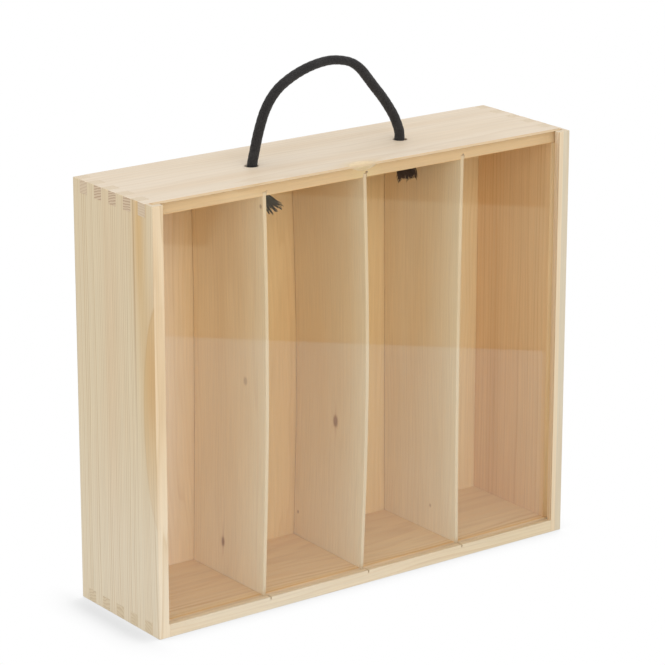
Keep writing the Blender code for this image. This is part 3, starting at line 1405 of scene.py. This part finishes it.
    def on_ledge(self, place: Vector) -> bool:
        """Finds the top board's upper front arris, by a looser test from front to back.

        Args:
            place: A point on the top board.

        Returns:
            True where the point is on that arris.
        """
        ahead = abs(place.y - self.ledge) < 20 * Joinery.near
        return ahead and abs(place.z - self.height) < Joinery.near

    def bottom_board(self) -> bpy.types.Object:
        """The bottom board, with the lid's groove, dadoes and a rebate.

        Returns:
            The piece.
        """
        board = self.level_board("bottom_plank", 0, 0, self.board)
        above = self.board + self.overrun
        tools = [
            Joinery.block(
                (-self.width, self.lip_back, self.board - self.groove_depth),
                (self.width, self.groove_back, above),
            ),
            Joinery.block(
                (-self.width, self.rebate_front, self.board - self.rebate),
                (self.width, self.behind, above),
            ),
        ]
        tools += self.slot_tools(
            0, self.dado_width, 0.0, (self.groove_back - self.overrun, self.behind),
            (self.board - self.dado_depth, above),
        )
        ahead, foot = self.front - self.overrun, self.board - self.kerf_depth
        half = self.kerf_width / 2
        tools += [
            Joinery.block((kerf - half, ahead, foot), (kerf + half, self.groove_back, above))
            for kerf in self.kerfs
        ]
        beyond = self.bottom_chamfer + MM
        arris = [
            (self.groove_back - MM, self.board - beyond),
            (self.groove_back + beyond, self.board + MM),
            (self.groove_back - MM, self.board + MM),
        ]
        tools.append(Joinery.prism("cutter", arris, 0, -self.inner, self.inner))
        Joinery.cut(board, tools)
        Joinery.ease(board, self.is_outer, self.easing, self.nick)
        Joinery.settle(board, Grain.ACROSS)
        return board

    def build(self) -> list[bpy.types.Object]:
        """Makes, dresses and places the four boards.

        Returns:
            The pieces.
        """
        side_ends = (Tone(234, 217, 192), Tone(210, 186, 152), 0.35)
        top_ends = (Tone(226, 205, 176), Tone(168, 126, 94), 0.7, 0.4)
        bottom_ends = (Tone(229, 212, 182), Tone(190, 160, 124), 0.42)
        # Painted shade: inner and the inside tones below darken and warm the faces inside the
        # case.
        inner = Tone(255, 240, 218)
        left = PineFinish(
            "left_board_pine", Grain.UPRIGHT, Tone(232, 214, 181), Tone(198, 164, 116),
            Tone(228, 202, 166), pith=(0.34, -0.05), spacing=1.7 * MM, sway=0.8 * MM,
            contrast=0.62, warmth=0.3, inside=inner,
            knots=(Knot(-0.0365, 0.150, 0.0040, 0.075, 0.0042),),
            patches=(
                Patch(-0.0310, 0.170, 0.0070, 0.070, 0.34, Tone(222, 190, 132)),
                Patch(-0.0473, 0.1325, 0.0180, 0.0695, 0.44, Tone(222, 182, 120), crisp=True),
                Patch(-0.0385, 0.155, 0.0075, 0.045, 0.55, Tone(214, 162, 94)),
                Patch(-0.0265, 0.240, 0.0058, 0.055, 0.80, Tone(224, 184, 124)),
                Patch(-0.0213, 0.215, 0.0007, 0.085, 0.60, Tone(176, 138, 98)),
                Patch(0.0050, 0.130, 0.0060, 0.150, 0.30, Tone(232, 198, 160)),
                Patch(-0.0422, 0.128, 0.0012, 9.0, 0.85, Tone(231, 207, 172), crisp=True),
                # Painted shade: a thin dark line along the back arris.
                Patch(0.0412, 0.160, 0.0009, 0.110, 0.80, Tone(200, 188, 164)),
                Patch(0.0, 0.020, 0.0600, 0.080, 0.55, Tone(240, 230, 210)),
                Patch(-0.0400, 0.025, 0.0120, 0.055, 0.60, Tone(238, 224, 200)),
            ),
        )
        right = PineFinish(
            "right_board_pine", Grain.UPRIGHT, Tone(240, 220, 190), Tone(206, 164, 112),
            Tone(236, 208, 168), pith=(0.30, 0.10), spacing=3.0 * MM, sway=0.9 * MM,
            # inside is the painted shade of the faces inside the case.
            contrast=0.4, warmth=0.3, inside=Tone(254, 235, 206),
            patches=(
                Patch(0.0190, 0.080, 0.0060, 0.085, 0.40, Tone(218, 184, 134)),
                # Painted light: a pale strip on the lid groove's chamfer, which lifts its shaded
                # deep end.
                Patch(-0.0339, 0.128, 0.0011, 9.0, 0.90, Tone(255, 240, 206)),
                # The right lip's front face: a dark line at its inner arris, partly a burr and
                # partly painted shadow of the lid's groove, then a painted highlight along that
                # arris, then the face's plain grey-cream tone.
                Patch(-0.0422, 0.128, 0.0012, 9.0, 0.85, Tone(192, 154, 108), crisp=True),
                Patch(-0.0413, 0.128, 0.0008, 9.0, 0.94, Tone(231, 212, 181), beyond=0.1419),
                Patch(-0.0413, 0.128, 0.0008, 9.0, 0.94, Tone(214, 202, 178), beyond=0.1450),
            ),
        )
        top = PineFinish(
            "top_board_pine", Grain.ACROSS, Tone(238, 222, 200), Tone(210, 182, 146),
            Tone(232, 212, 184), pith=(-0.030, 0.150), spacing=1.6 * MM, sway=2.6 * MM,
            contrast=0.26, warmth=0.5, inside=inner, jitter=1.4,
            patches=(
                Patch(-0.0345, 0.0, 0.0009, 9.0, 0.9, Tone(230, 192, 140), crisp=True),
                Patch(-0.0318, 0.0, 0.0055, 0.0110, 0.8, Tone(232, 204, 150)),
                Patch(-0.0120, -0.060, 0.0060, 0.110, 0.45, Tone(226, 200, 166)),
                Patch(0.0240, 0.070, 0.0050, 0.120, 0.40, Tone(228, 206, 176)),
            ),
        )
        bottom = PineFinish(
            "bottom_board_pine", Grain.ACROSS, Tone(231, 217, 192), Tone(200, 160, 114),
            Tone(228, 204, 168), pith=(0.010, -0.075), spacing=2.1 * MM, sway=2.4 * MM,
            # inside is the painted shade of the faces inside the case.
            contrast=0.3, warmth=0.35, inside=Tone(255, 230, 188), inside_contrast=2.2,
            patches=(
                Patch(-0.0332, 0.0, 0.0011, 9.0, 0.7, Tone(230, 189, 142)),
                Patch(-0.0412, 0.125, 0.0060, 0.070, 0.5, Tone(220, 200, 162)),
            ),
        )
        plan = [
            (self.side_board("left_plank", -1), left, side_ends, "left_board"),
            (self.side_board("right_plank", 1), right, side_ends, "right_board"),
            (self.top_board(), top, top_ends, "top_board"),
            (self.bottom_board(), bottom, bottom_ends, "bottom_board"),
        ]
        for piece, finish, ends, node in plan:
            Joinery.clad(piece, finish.build(), finish.build_ends(*ends))
            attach(piece, Body.CASE.value)
            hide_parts(node)
        return [piece for piece, *_ in plan]


@dataclass
class BackPanel:
    """The thin panel in the back, which stands free of the dividers by a hair."""

    reach: float = 0.1459
    low: float = 0.0041
    high: float = 0.2524
    front: float = 0.03725
    back: float = 0.04125
    nick: float = 0.0002

    def build(self) -> bpy.types.Object:
        """Makes, dresses and places the panel.

        Returns:
            The piece.
        """
        panel = Joinery.block(
            (-self.reach, self.front, self.low), (self.reach, self.back, self.high), "back_sheet"
        )
        Joinery.ease(panel, lambda place: False, self.nick, self.nick)
        Joinery.settle(panel, Grain.UPRIGHT)
        finish = PineFinish(
            "back_panel_pine", Grain.UPRIGHT, Tone(231, 195, 138), Tone(206, 158, 100),
            Tone(222, 180, 122), pith=(0.02, 0.12), spacing=2.6 * MM, sway=5 * MM,
            contrast=0.3, warmth=0.45, face_is_y=True,
            patches=(
                Patch(-0.115, 0.110, 0.030, 0.300, 0.80, Tone(249, 232, 214)),
                Patch(0.112, 0.128, 0.030, 0.300, 0.65, Tone(244, 224, 182)),
                Patch(-0.120, 0.225, 0.012, 0.045, 0.45, Tone(214, 160, 102)),
                Patch(-0.050, 0.205, 0.011, 0.060, 0.40, Tone(210, 158, 92)),
                Patch(0.015, 0.190, 0.010, 0.090, 0.35, Tone(212, 158, 98)),
                Patch(-0.052, 0.110, 0.010, 0.050, 0.35, Tone(238, 210, 160)),
                # The sheet's base tones are the warmer ones of the case's inside, which hold
                # painted shade; from the middle of the sheet back, the outer back face gets a
                # paler tone.
                Patch(0.0, 0.128, 9.0, 9.0, 0.80, Tone(236, 214, 178), beyond=0.0390),
            ),
        )
        Joinery.clad(panel, finish.build(), finish.build_ends(*THIN_ENDS))
        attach(panel, Body.CASE.value)
        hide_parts("back_panel")
        return panel


@dataclass
class Lid:
    """The clear sheet in the front grooves, with polished edges and round corners."""

    reach: float = 0.1474
    foot: float = 0.0026
    top: float = 0.2565
    front: float = -0.03725
    back: float = -0.03425
    corner: float = 0.0015
    corner_steps: int = 8
    polish: float = 0.00025

    def build(self) -> bpy.types.Object:
        """Makes, dresses and places the lid.

        Returns:
            The piece.
        """
        outline = []
        for across, up, start in (
            (self.reach - self.corner, self.foot + self.corner, -90),
            (self.reach - self.corner, self.top - self.corner, 0),
            (-self.reach + self.corner, self.top - self.corner, 90),
            (-self.reach + self.corner, self.foot + self.corner, 180),
        ):
            for step in range(self.corner_steps + 1):
                angle = math.radians(start + 90 * step / self.corner_steps)
                outline.append(
                    (across + self.corner * math.cos(angle), up + self.corner * math.sin(angle))
                )
        lid = Joinery.prism("clear_lid", outline, 1, self.front, self.back)
        with Joinery.editing(lid) as work:
            rims = [edge for edge in work.edges if edge.calc_face_angle(0) > Joinery.sharp_turn]
            bmesh.ops.bevel(
                work, geom=rims, offset=self.polish, segments=2, profile=0.5, affect="EDGES"
            )
        Joinery.settle(lid, None)
        Joinery.clad(lid, AcrylicFinish().build(), SawnAcrylicFinish().build())
        for face in lid.data.polygons:
            face.material_index = 0 if abs(face.normal.y) > 0.5 else 1
        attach(lid, Body.LID.value)
        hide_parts("sliding_lid")
        return lid


class Sweep:
    """A tube along a line of points, with its own radius for each point of its skin."""

    def __init__(self, line: np.ndarray, sides: int) -> None:
        """Works out a frame that doesn't twist for each point of the line.

        Args:
            line: The points, at an even step.
            sides: How many corners each ring has.
        """
        self.line = line
        self.sides = sides
        ahead = np.gradient(line, axis=0)
        self.ahead = ahead / np.linalg.norm(ahead, axis=1, keepdims=True)
        start = np.cross(self.ahead[0], (0.0, 1.0, 0.0))
        if np.linalg.norm(start) < 0.1:
            start = np.cross(self.ahead[0], (1.0, 0.0, 0.0))
        normal = start / np.linalg.norm(start)
        normals = []
        for direction in self.ahead:
            normal = normal - direction * np.dot(normal, direction)
            normal = normal / np.linalg.norm(normal)
            normals.append(normal)
        self.normals = np.array(normals)
        self.binormals = np.cross(self.ahead, self.normals)
        steps = np.linalg.norm(np.diff(line, axis=0), axis=1)
        self.along = np.concatenate([[0.0], np.cumsum(steps)])

    def skin(
        self, work: bmesh.types.BMesh, radius: Callable[[np.ndarray, float], np.ndarray]
    ) -> None:
        """Adds the tube to a mesh.

        Args:
            work: The mesh to add to.
            radius: A call that gives the radii at some angles and a distance along.
        """
        turns = np.arange(self.sides) * 2 * math.pi / self.sides
        rings = []
        for place, normal, binormal, along in zip(
            self.line, self.normals, self.binormals, self.along
        ):
            spokes = np.outer(np.cos(turns), normal) + np.outer(np.sin(turns), binormal)
            skin = place + spokes * radius(turns, along)[:, None]
            rings.append([work.verts.new(point) for point in skin])
        Joinery.loft(work, rings)


def smooth_line(stops: np.ndarray, step: float) -> np.ndarray:
    """Points at an even step along a smooth curve through the stops.

    Args:
        stops: The points that the curve goes through.
        step: The distance from one point to the next.

    Returns:
        The points.
    """
    held = np.vstack([2 * stops[0] - stops[1], stops, 2 * stops[-1] - stops[-2]])
    shares = np.linspace(0, 1, 24, endpoint=False)[:, None]
    dense = [
        0.5 * (2 * b + (c - a) * shares + (2 * a - 5 * b + 4 * c - d) * shares**2
               + (3 * b - a - 3 * c + d) * shares**3)
        for a, b, c, d in zip(held, held[1:], held[2:], held[3:])
    ]
    dense = np.vstack(dense + [stops[-1:]])
    along = np.concatenate([[0], np.cumsum(np.linalg.norm(np.diff(dense, axis=0), axis=1))])
    wanted = np.linspace(0, along[-1], max(round(along[-1] / step), 2) + 1)
    return np.stack([np.interp(wanted, along, dense[:, k]) for k in range(3)], axis=1)


@dataclass
class Tuft:
    """The frayed end of the cord: many thin strands that gather into ragged locks.

    Each lock runs from the tail's end to its own tip. width is how far the tail's end has
    opened out along the row of tips. Some strands are short, and those stray more. All of
    them taper, vary in thickness, bend a little and start a little inside the tail.
    """

    root: Point
    tips: tuple[Point, ...]
    strands: int
    seed: int
    width: float
    root_radius: float = 0.0024
    strand_radius: float = 0.00045
    scatter: float = 0.0006
    short_share: float = 0.6
    short_reach: Flat = (0.55, 0.98)
    long_reach: Flat = (0.9, 1.0)
    thickness: Flat = (0.75, 1.2)
    taper: float = 0.62
    wander: float = 0.09
    stray: float = 2.2
    bend_share: float = 0.7
    bury: float = 0.0015
    step: float = 0.0014
    sides: int = 5

    def fill(self, work: bmesh.types.BMesh) -> None:
        """Adds the strands to a mesh.

        Args:
            work: The mesh to add to.
        """
        dice = np.random.default_rng(self.seed)
        root = np.array(self.root)
        tips = np.array(self.tips)
        middle = tips.mean(axis=0)
        line = (middle - root) / np.linalg.norm(middle - root)
        row = tips[-1] - tips[0]
        row = (row - line * np.dot(row, line)) / np.linalg.norm(row)
        other = np.cross(line, row)
        for count in range(self.strands):
            turn = dice.uniform(0, 2 * math.pi)
            out = self.root_radius * math.sqrt(dice.uniform(0, 1))
            lock = count % len(tips)
            wander = dice.uniform(-self.wander, self.wander)
            aside = self.width * (lock / (len(tips) - 1) - 0.5 + wander)
            start = root + (out * math.cos(turn) + aside) * row + out * math.sin(turn) * other
            tip = tips[lock]
            short = dice.uniform() < self.short_share
            reach = dice.uniform(*(self.short_reach if short else self.long_reach))
            spread = self.scatter * (1 + self.stray * (1 - reach))
            tip = start + (tip - start) * reach + dice.normal(0, spread, 3)
            bend = (start + tip) / 2 + dice.normal(0, self.scatter * self.bend_share, 3)
            stops = np.array([start - line * self.bury, start, bend, tip])
            sweep = Sweep(smooth_line(stops, self.step), self.sides)
            thick = self.strand_radius * dice.uniform(*self.thickness)
            whole = sweep.along[-1]
            sweep.skin(
                work,
                lambda turns, along, thick=thick, whole=whole: np.full(
                    len(turns), thick * (1.0 - self.taper * (along / whole) ** 2)
                ),
            )


@dataclass
class CordEnd:
    """The cord below one hole: a stem, a drawn-up knot and a frayed tail."""

    name: str
    node: str
    across: float
    tail: tuple[Point, ...]
    tuft: Tuft
    back: float = 0.0015
    heart: float = 0.2437
    top: float = 0.2530
    knot_scale: float = 0.00205
    knot_rise: float = 0.0021
    knot_radius: float = 0.0025
    knot_steps: int = 150
    knot_sides: int = 20
    cord_radius: float = 0.0029
    tail_share: float = 0.97
    step: float = 0.0005
    sides: int = 28

    def build(self, finish: bpy.types.Material, frayed: bpy.types.Material) -> bpy.types.Object:
        """Makes, dresses and places the cord end.

        Args:
            finish: The cord's material.
            frayed: The material of its loose strands.

        Returns:
            The piece.
        """
        work = bmesh.new()
        turns = np.linspace(0, 2 * math.pi, self.knot_steps)
        out = self.knot_scale * (2 + np.cos(3 * turns))
        knot = np.stack(
            [
                self.across + out * np.cos(2 * turns),
                self.back + out * np.sin(2 * turns),
                self.heart + self.knot_rise * np.sin(3 * turns),
            ],
            axis=1,
        )
        Sweep(knot, self.knot_sides).skin(work, lambda t, s: braid(t, s, self.knot_radius))
        stem = np.array(
            [(self.across, self.back, self.heart - MM), (self.across, self.back, self.top)]
        )
        for stops, radius in (
            (stem, self.cord_radius), (np.array(self.tail), self.cord_radius * self.tail_share)
        ):
            Sweep(smooth_line(stops, self.step), self.sides).skin(
                work, lambda t, s, radius=radius: braid(t, s, radius)
            )
        laid = len(work.faces)
        self.tuft.fill(work)
        for count, face in enumerate(work.faces):
            face.smooth = True
            face.material_index = 1 if count >= laid else 0
        piece = Joinery.keep(self.name, work)
        Joinery.clad(piece, finish, frayed)
        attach(piece, Body.CASE.value)
        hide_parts(self.node)
        return piece


def braid(turns: np.ndarray, along: float, radius: float) -> np.ndarray:
    """The radius of a braided cord's skin, never more than the radius given.

    Args:
        turns: The angles round the cord.
        along: The distance along the cord.
        radius: The radius over the braid's crowns.

    Returns:
        The radius at each angle.
    """
    strands, pitch, relief = 6, 0.0042, 0.0001
    phase = 2 * math.pi * along / pitch
    over = np.cos(strands * turns + phase)
    under = np.cos(strands * turns - phase)
    crown = np.maximum(over * (0.75 + 0.25 * np.sin(strands * turns)), under)
    return radius - relief * (1 - np.clip(crown, -0.6, 1.0))


@dataclass
class CarryCord:
    """The length of cord from hole to hole, which stands in an arch above the case.

    Its middle line goes through the stops, each a place across and a level. swells are how
    thick it is at the shares of its length, as shares of the radius.
    """

    radius: float = 0.0029
    back: float = 0.0015
    stops: tuple[Flat, ...] = (
        (-0.05347, 0.2520), (-0.05347, 0.2555), (-0.05290, 0.2595), (-0.05180, 0.2639),
        (-0.04982, 0.2718), (-0.04746, 0.2794), (-0.04444, 0.2869), (-0.04013, 0.2938),
        (-0.03442, 0.2995), (-0.02751, 0.3037), (-0.02044, 0.3068), (-0.01307, 0.3091),
        (-0.00540, 0.3106), (0.00251, 0.3111), (0.01044, 0.3101), (0.01797, 0.3077),
        (0.02442, 0.3031), (0.02966, 0.2971), (0.03476, 0.2909), (0.04002, 0.2847),
        (0.04493, 0.2781), (0.04928, 0.2713), (0.05259, 0.2639), (0.05354, 0.2598),
        (0.05347, 0.2555), (0.05347, 0.2520),
    )
    step: float = 0.0004
    sides: int = 48
    shares: tuple[float, ...] = (0.0, 0.08, 0.16, 0.35, 0.50, 0.60, 0.68, 0.90, 1.0)
    swells: tuple[float, ...] = (1.06, 1.05, 1.04, 1.02, 0.97, 0.93, 1.04, 1.05, 1.07)

    def build(self, finish: bpy.types.Material) -> bpy.types.Object:
        """Args:
            finish: The cord's material.

        Returns:
            The piece.
        """
        line = smooth_line(np.array([(x, self.back, z) for x, z in self.stops]), self.step)
        sweep = Sweep(line, self.sides)
        work = bmesh.new()
        whole = sweep.along[-1]
        sweep.skin(
            work,
            lambda t, s: braid(t, s, self.radius * np.interp(s / whole, self.shares, self.swells)),
        )
        for face in work.faces:
            face.smooth = True
        piece = Joinery.keep("carry_cord", work)
        Joinery.clad(piece, finish)
        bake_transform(piece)
        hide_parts("handle_cord")
        LOG.info("carry_cord is %.0f mm from hole to hole", sweep.along[-1] / MM)
        return piece


@dataclass
class Studio:
    """The camera, the pale floor, the white room and the lamp.

    The mirror colours are the floor's where only a reflection in the lid sees it, from the
    nearest to the last. openness is how far up the floor looks for its own shadow.
    """

    camera_place: Point = (-1.0678, -1.4522, 0.7102)
    azimuth: float = 36.407
    elevation: float = -17.370
    roll: float = 0.048
    focal_pixels: float = 3173.37
    frame_pixels: float = 665.0
    room_light: float = 0.86
    key_watts: float = 20.0
    key_place: Point = (-0.6, -2.5, 1.2)
    key_size: float = 1.8
    floor_reach: float = 6.0
    floor_level: float = -0.0002
    openness: float = 0.03
    aim: Point = (0.0, 0.0, 0.12)
    mirror_near: Colour = (0.82, 0.96, 1.00, 1.0)
    mirror_edge: Colour = (0.55, 0.48, 0.36, 1.0)
    mirror_far: Colour = (0.65, 0.58, 0.43, 1.0)
    mirror_last: Colour = (0.25, 0.14, 0.08, 1.0)

    def camera(self) -> None:
        """Sets the camera where the photograph's was."""
        data = bpy.data.cameras.new("camera")
        data.sensor_width = 36.0
        data.lens = self.focal_pixels / self.frame_pixels * data.sensor_width
        data.clip_start = 0.05
        data.clip_end = 40.0
        lens = bpy.data.objects.new("camera", data)
        bpy.context.scene.collection.objects.link(lens)
        bearing, pitch = math.radians(self.azimuth), math.radians(self.elevation)
        forward = Vector(
            (
                math.sin(bearing) * math.cos(pitch),
                math.cos(bearing) * math.cos(pitch),
                math.sin(pitch),
            )
        )
        turn = forward.to_track_quat("-Z", "Y").to_matrix().to_4x4()
        turn = turn @ Matrix.Rotation(math.radians(self.roll), 4, "Z")
        lens.matrix_world = Matrix.Translation(self.camera_place) @ turn
        bpy.context.scene.camera = lens

    def floor(self) -> bpy.types.Object:
        """A wide pale floor that keeps the box's soft shadow, and shows in the lid.

        Returns:
            The floor.
        """
        work = bmesh.new()
        bmesh.ops.create_grid(work, x_segments=1, y_segments=1, size=self.floor_reach)
        bmesh.ops.translate(work, verts=work.verts, vec=(0, 0, self.floor_level))
        floor = Joinery.keep("floor", work)
        graph = ShaderGraph("pale_floor")
        graph.dress(
            {"Base Color": (0.8, 0.8, 0.8, 1.0), "Roughness": 1.0, "Specular IOR Level": 0.0}
        )
        path = graph.node("ShaderNodeLightPath")
        shade = graph.node("ShaderNodeAmbientOcclusion", samples=8)
        shade.inputs["Distance"].default_value = self.openness
        seen = graph.node("ShaderNodeEmission")
        graph.feed(seen.inputs["Color"], (1.0, 1.0, 1.0, 1.0))
        graph.feed(seen.inputs["Strength"], self.shadow(graph, shade.outputs["AO"]))
        mirrored = graph.node("ShaderNodeEmission")
        graph.feed(mirrored.inputs["Color"], self.mirrored_colour(graph))
        clear = graph.math(
            "MAXIMUM", path.outputs["Is Camera Ray"], path.outputs["Is Transmission Ray"]
        )
        bounced = graph.math("MINIMUM", path.outputs["Glossy Depth"], 1.0)
        glossy = graph.math("MAXIMUM", path.outputs["Is Glossy Ray"], bounced)
        lower = graph.blend(glossy, graph.shader.outputs[0], mirrored.outputs[0])
        straight = graph.math("SUBTRACT", clear, bounced)
        graph.feed(
            graph.output.inputs["Surface"], graph.blend(straight, lower, seen.outputs[0])
        )
        Joinery.clad(floor, graph.material)
        return floor

    @staticmethod
    def shadow(graph: ShaderGraph, shade: Socket) -> Socket:
        """How bright the floor is seen: a wide soft shadow at the left, and a thin one elsewhere.

        Args:
            graph: The floor's node tree.
            shade: How open the sky is above a point, from 0 to 1.

        Returns:
            The level's socket.
        """
        x, *_ = graph.split()
        left = graph.remap(x, -0.160, -0.146, 1.0, 0.0)
        wide = graph.remap(shade, 0.36, 1.0, 0.58, 1.0)
        thin = graph.remap(shade, 0.40, 0.80, 0.84, 1.0)
        return graph.math("MULTIPLY_ADD", left, graph.math("SUBTRACT", wide, thin), thin)

    def mirrored_colour(self, graph: ShaderGraph) -> Socket:
        """The floor's colour where the lid mirrors it, which falls in steps away from the box.

        Args:
            graph: The floor's node tree.

        Returns:
            The colour's socket.
        """
        x, y, _ = graph.split()

        def beyond(slope: float, reach: float, feather: float) -> Socket:
            """1 where slope times x less y is over the reach, and 0 below it."""
            away = graph.math("SUBTRACT", graph.math("MULTIPLY", x, slope), y)
            return graph.remap(away, reach - feather, reach + feather, 0.0, 1.0)

        colour = graph.mix(beyond(0.952, 0.680, 0.0015), self.mirror_near, self.mirror_edge)
        colour = graph.mix(beyond(0.952, 0.692, 0.0060), colour, self.mirror_far)
        aside = graph.math("MULTIPLY_ADD", x, 1.235, y)
        near = graph.remap(aside, -0.291, -0.271, 1.0, 0.0)
        corner = graph.math("MULTIPLY", beyond(0.958, 1.024, 0.010), near)
        dark = graph.math("MAXIMUM", beyond(1.0886, 1.327, 0.010), corner)
        return graph.mix(dark, colour, self.mirror_last)

    def room(self) -> None:
        """A white room, which lights the box evenly and is white behind it."""
        world = bpy.data.worlds.new("white_room")
        world.use_nodes = True
        tree = world.node_tree
        back = tree.nodes["Background"]
        back.inputs["Color"].default_value = (1.0, 1.0, 1.0, 1.0)
        path = tree.nodes.new("ShaderNodeLightPath")
        level = tree.nodes.new("ShaderNodeMapRange")
        level.inputs["To Min"].default_value = self.room_light
        level.inputs["To Max"].default_value = 1.0
        seen = path.outputs["Is Camera Ray"]
        for kind in ("Is Glossy Ray", "Is Transmission Ray"):
            either = tree.nodes.new("ShaderNodeMath")
            either.operation = "MAXIMUM"
            tree.links.new(seen, either.inputs[0])
            tree.links.new(path.outputs[kind], either.inputs[1])
            seen = either.outputs[0]
        tree.links.new(seen, level.inputs["Value"])
        tree.links.new(level.outputs[0], back.inputs["Strength"])
        bpy.context.scene.world = world

    def lamp(self, name: str, place: Point, size: float, watts: float) -> None:
        """A square soft lamp that faces the box.

        Args:
            name: The lamp's name.
            place: Where it stands.
            size: The length of its sides.
            watts: Its power.
        """
        data = bpy.data.lights.new(name, "AREA")
        data.size = size
        data.energy = watts
        lamp = bpy.data.objects.new(name, data)
        bpy.context.scene.collection.objects.link(lamp)
        ahead = Vector(self.aim) - Vector(place)
        turn = ahead.to_track_quat("-Z", "Y").to_matrix().to_4x4()
        lamp.matrix_world = Matrix.Translation(place) @ turn

    def build(self) -> None:
        """Sets up the whole studio."""
        self.floor()
        self.room()
        self.lamp("front_softbox", self.key_place, self.key_size, self.key_watts)
        bpy.context.scene.view_settings.view_transform = "Standard"


def cord_ends() -> list[CordEnd]:
    """The cord's two ends, each with the tuft that it has.

    Returns:
        The left end and the right one.
    """
    left = CordEnd(
        "left_cord_end", "cord_end_left", -0.05347,
        tail=((-0.0532, 0.0008, 0.2430), (-0.0530, -0.0010, 0.2420), (-0.0526, -0.0028, 0.2412)),
        tuft=Tuft(
            (-0.0524, -0.0030, 0.2408),
            (
                (-0.0408, -0.0065, 0.2340), (-0.0384, -0.0070, 0.2327),
                (-0.0398, -0.0075, 0.2306), (-0.0428, -0.0070, 0.2293),
                (-0.0458, -0.0070, 0.2285), (-0.0484, -0.0070, 0.2290),
                (-0.0508, -0.0065, 0.2298),
            ),
            150, 7, 0.0026, root_radius=0.0019, strand_radius=0.00036, scatter=0.0004,
        ),
    )
    right = CordEnd(
        "right_cord_end", "cord_end_right", 0.05347,
        tail=((0.0536, 0.0008, 0.2425), (0.0540, -0.0005, 0.2412), (0.0545, -0.0016, 0.2404)),
        tuft=Tuft(
            (0.0548, -0.0018, 0.2405),
            (
                (0.0490, -0.0040, 0.2326), (0.0506, -0.0042, 0.2345),
                (0.0527, -0.0045, 0.2338), (0.0548, -0.0045, 0.2337),
                (0.0570, -0.0045, 0.2336), (0.0592, -0.0042, 0.2334),
                (0.0608, -0.0040, 0.2322),
            ),
            150, 11, 0.0086, strand_radius=0.00038, scatter=0.0007,
        ),
    )
    return [left, right]


def bowed_dividers() -> tuple[Divider, ...]:
    """The three dividers, each with its own bow, tone and knots.

    Returns:
        The dividers, from the left to the right.
    """
    return (
        Divider(
            "divider_left", -0.0719, Warp(-0.0004, 0.0014, 0.0023), Warp(-0.0013, 0.0001, 0.0013),
            Tone(249, 223, 178),
            (
                Knot(0.0070, 0.0283, 0.0013, 0.0027, 0.0045, 1.0),
                Knot(-0.0140, 0.1338, 0.0016, 0.0022, 0.0020, 0.3),
                Knot(-0.0315, 0.2425, 0.0010, 0.0012, 0.0010, 0.45),
            ),
        ),
        Divider(
            "divider_middle", 0.0001, Warp(-0.0009, 0.0003, 0.0031), Warp(0.0008, -0.0007, 0.0031),
            Tone(235, 209, 166),
            (
                Knot(-0.0040, 0.0917, 0.0021, 0.0034, 0.0050, 1.0),
                Knot(0.0328, 0.0230, 0.0008, 0.0010, 0.0010, 0.6),
            ),
        ),
        Divider(
            "divider_right", 0.0706, Warp(0.0012, 0.0019, -0.0011), Warp(0.0008, -0.0010, -0.0001),
            Tone(242, 218, 177), (Knot(-0.0092, 0.0244, 0.0008, 0.0010, 0.0010, 0.35),),
        ),
    )


def main() -> None:
    """Builds the box's pieces in order, and reports each one."""
    logging.basicConfig(level=logging.INFO, format="%(name)s: %(message)s")
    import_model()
    studio = Studio()
    studio.camera()

    cotton = CordFinish().build()
    frayed = CordFinish("frayed_cotton", Tone(18, 10, 6), Tone(52, 38, 28)).build()
    pieces = [CarryCord().build(cotton)]
    pieces += [end.build(cotton, frayed) for end in cord_ends()]
    dividers = bowed_dividers()
    pieces += Case(dividers).build()
    pieces += [divider.build() for divider in dividers]
    pieces += [BackPanel().build(), Lid().build()]
    for piece in pieces:
        LOG.info("%s: %d faces", piece.name, len(piece.data.polygons))
    studio.build()


if __name__ == "__main__":
    main()
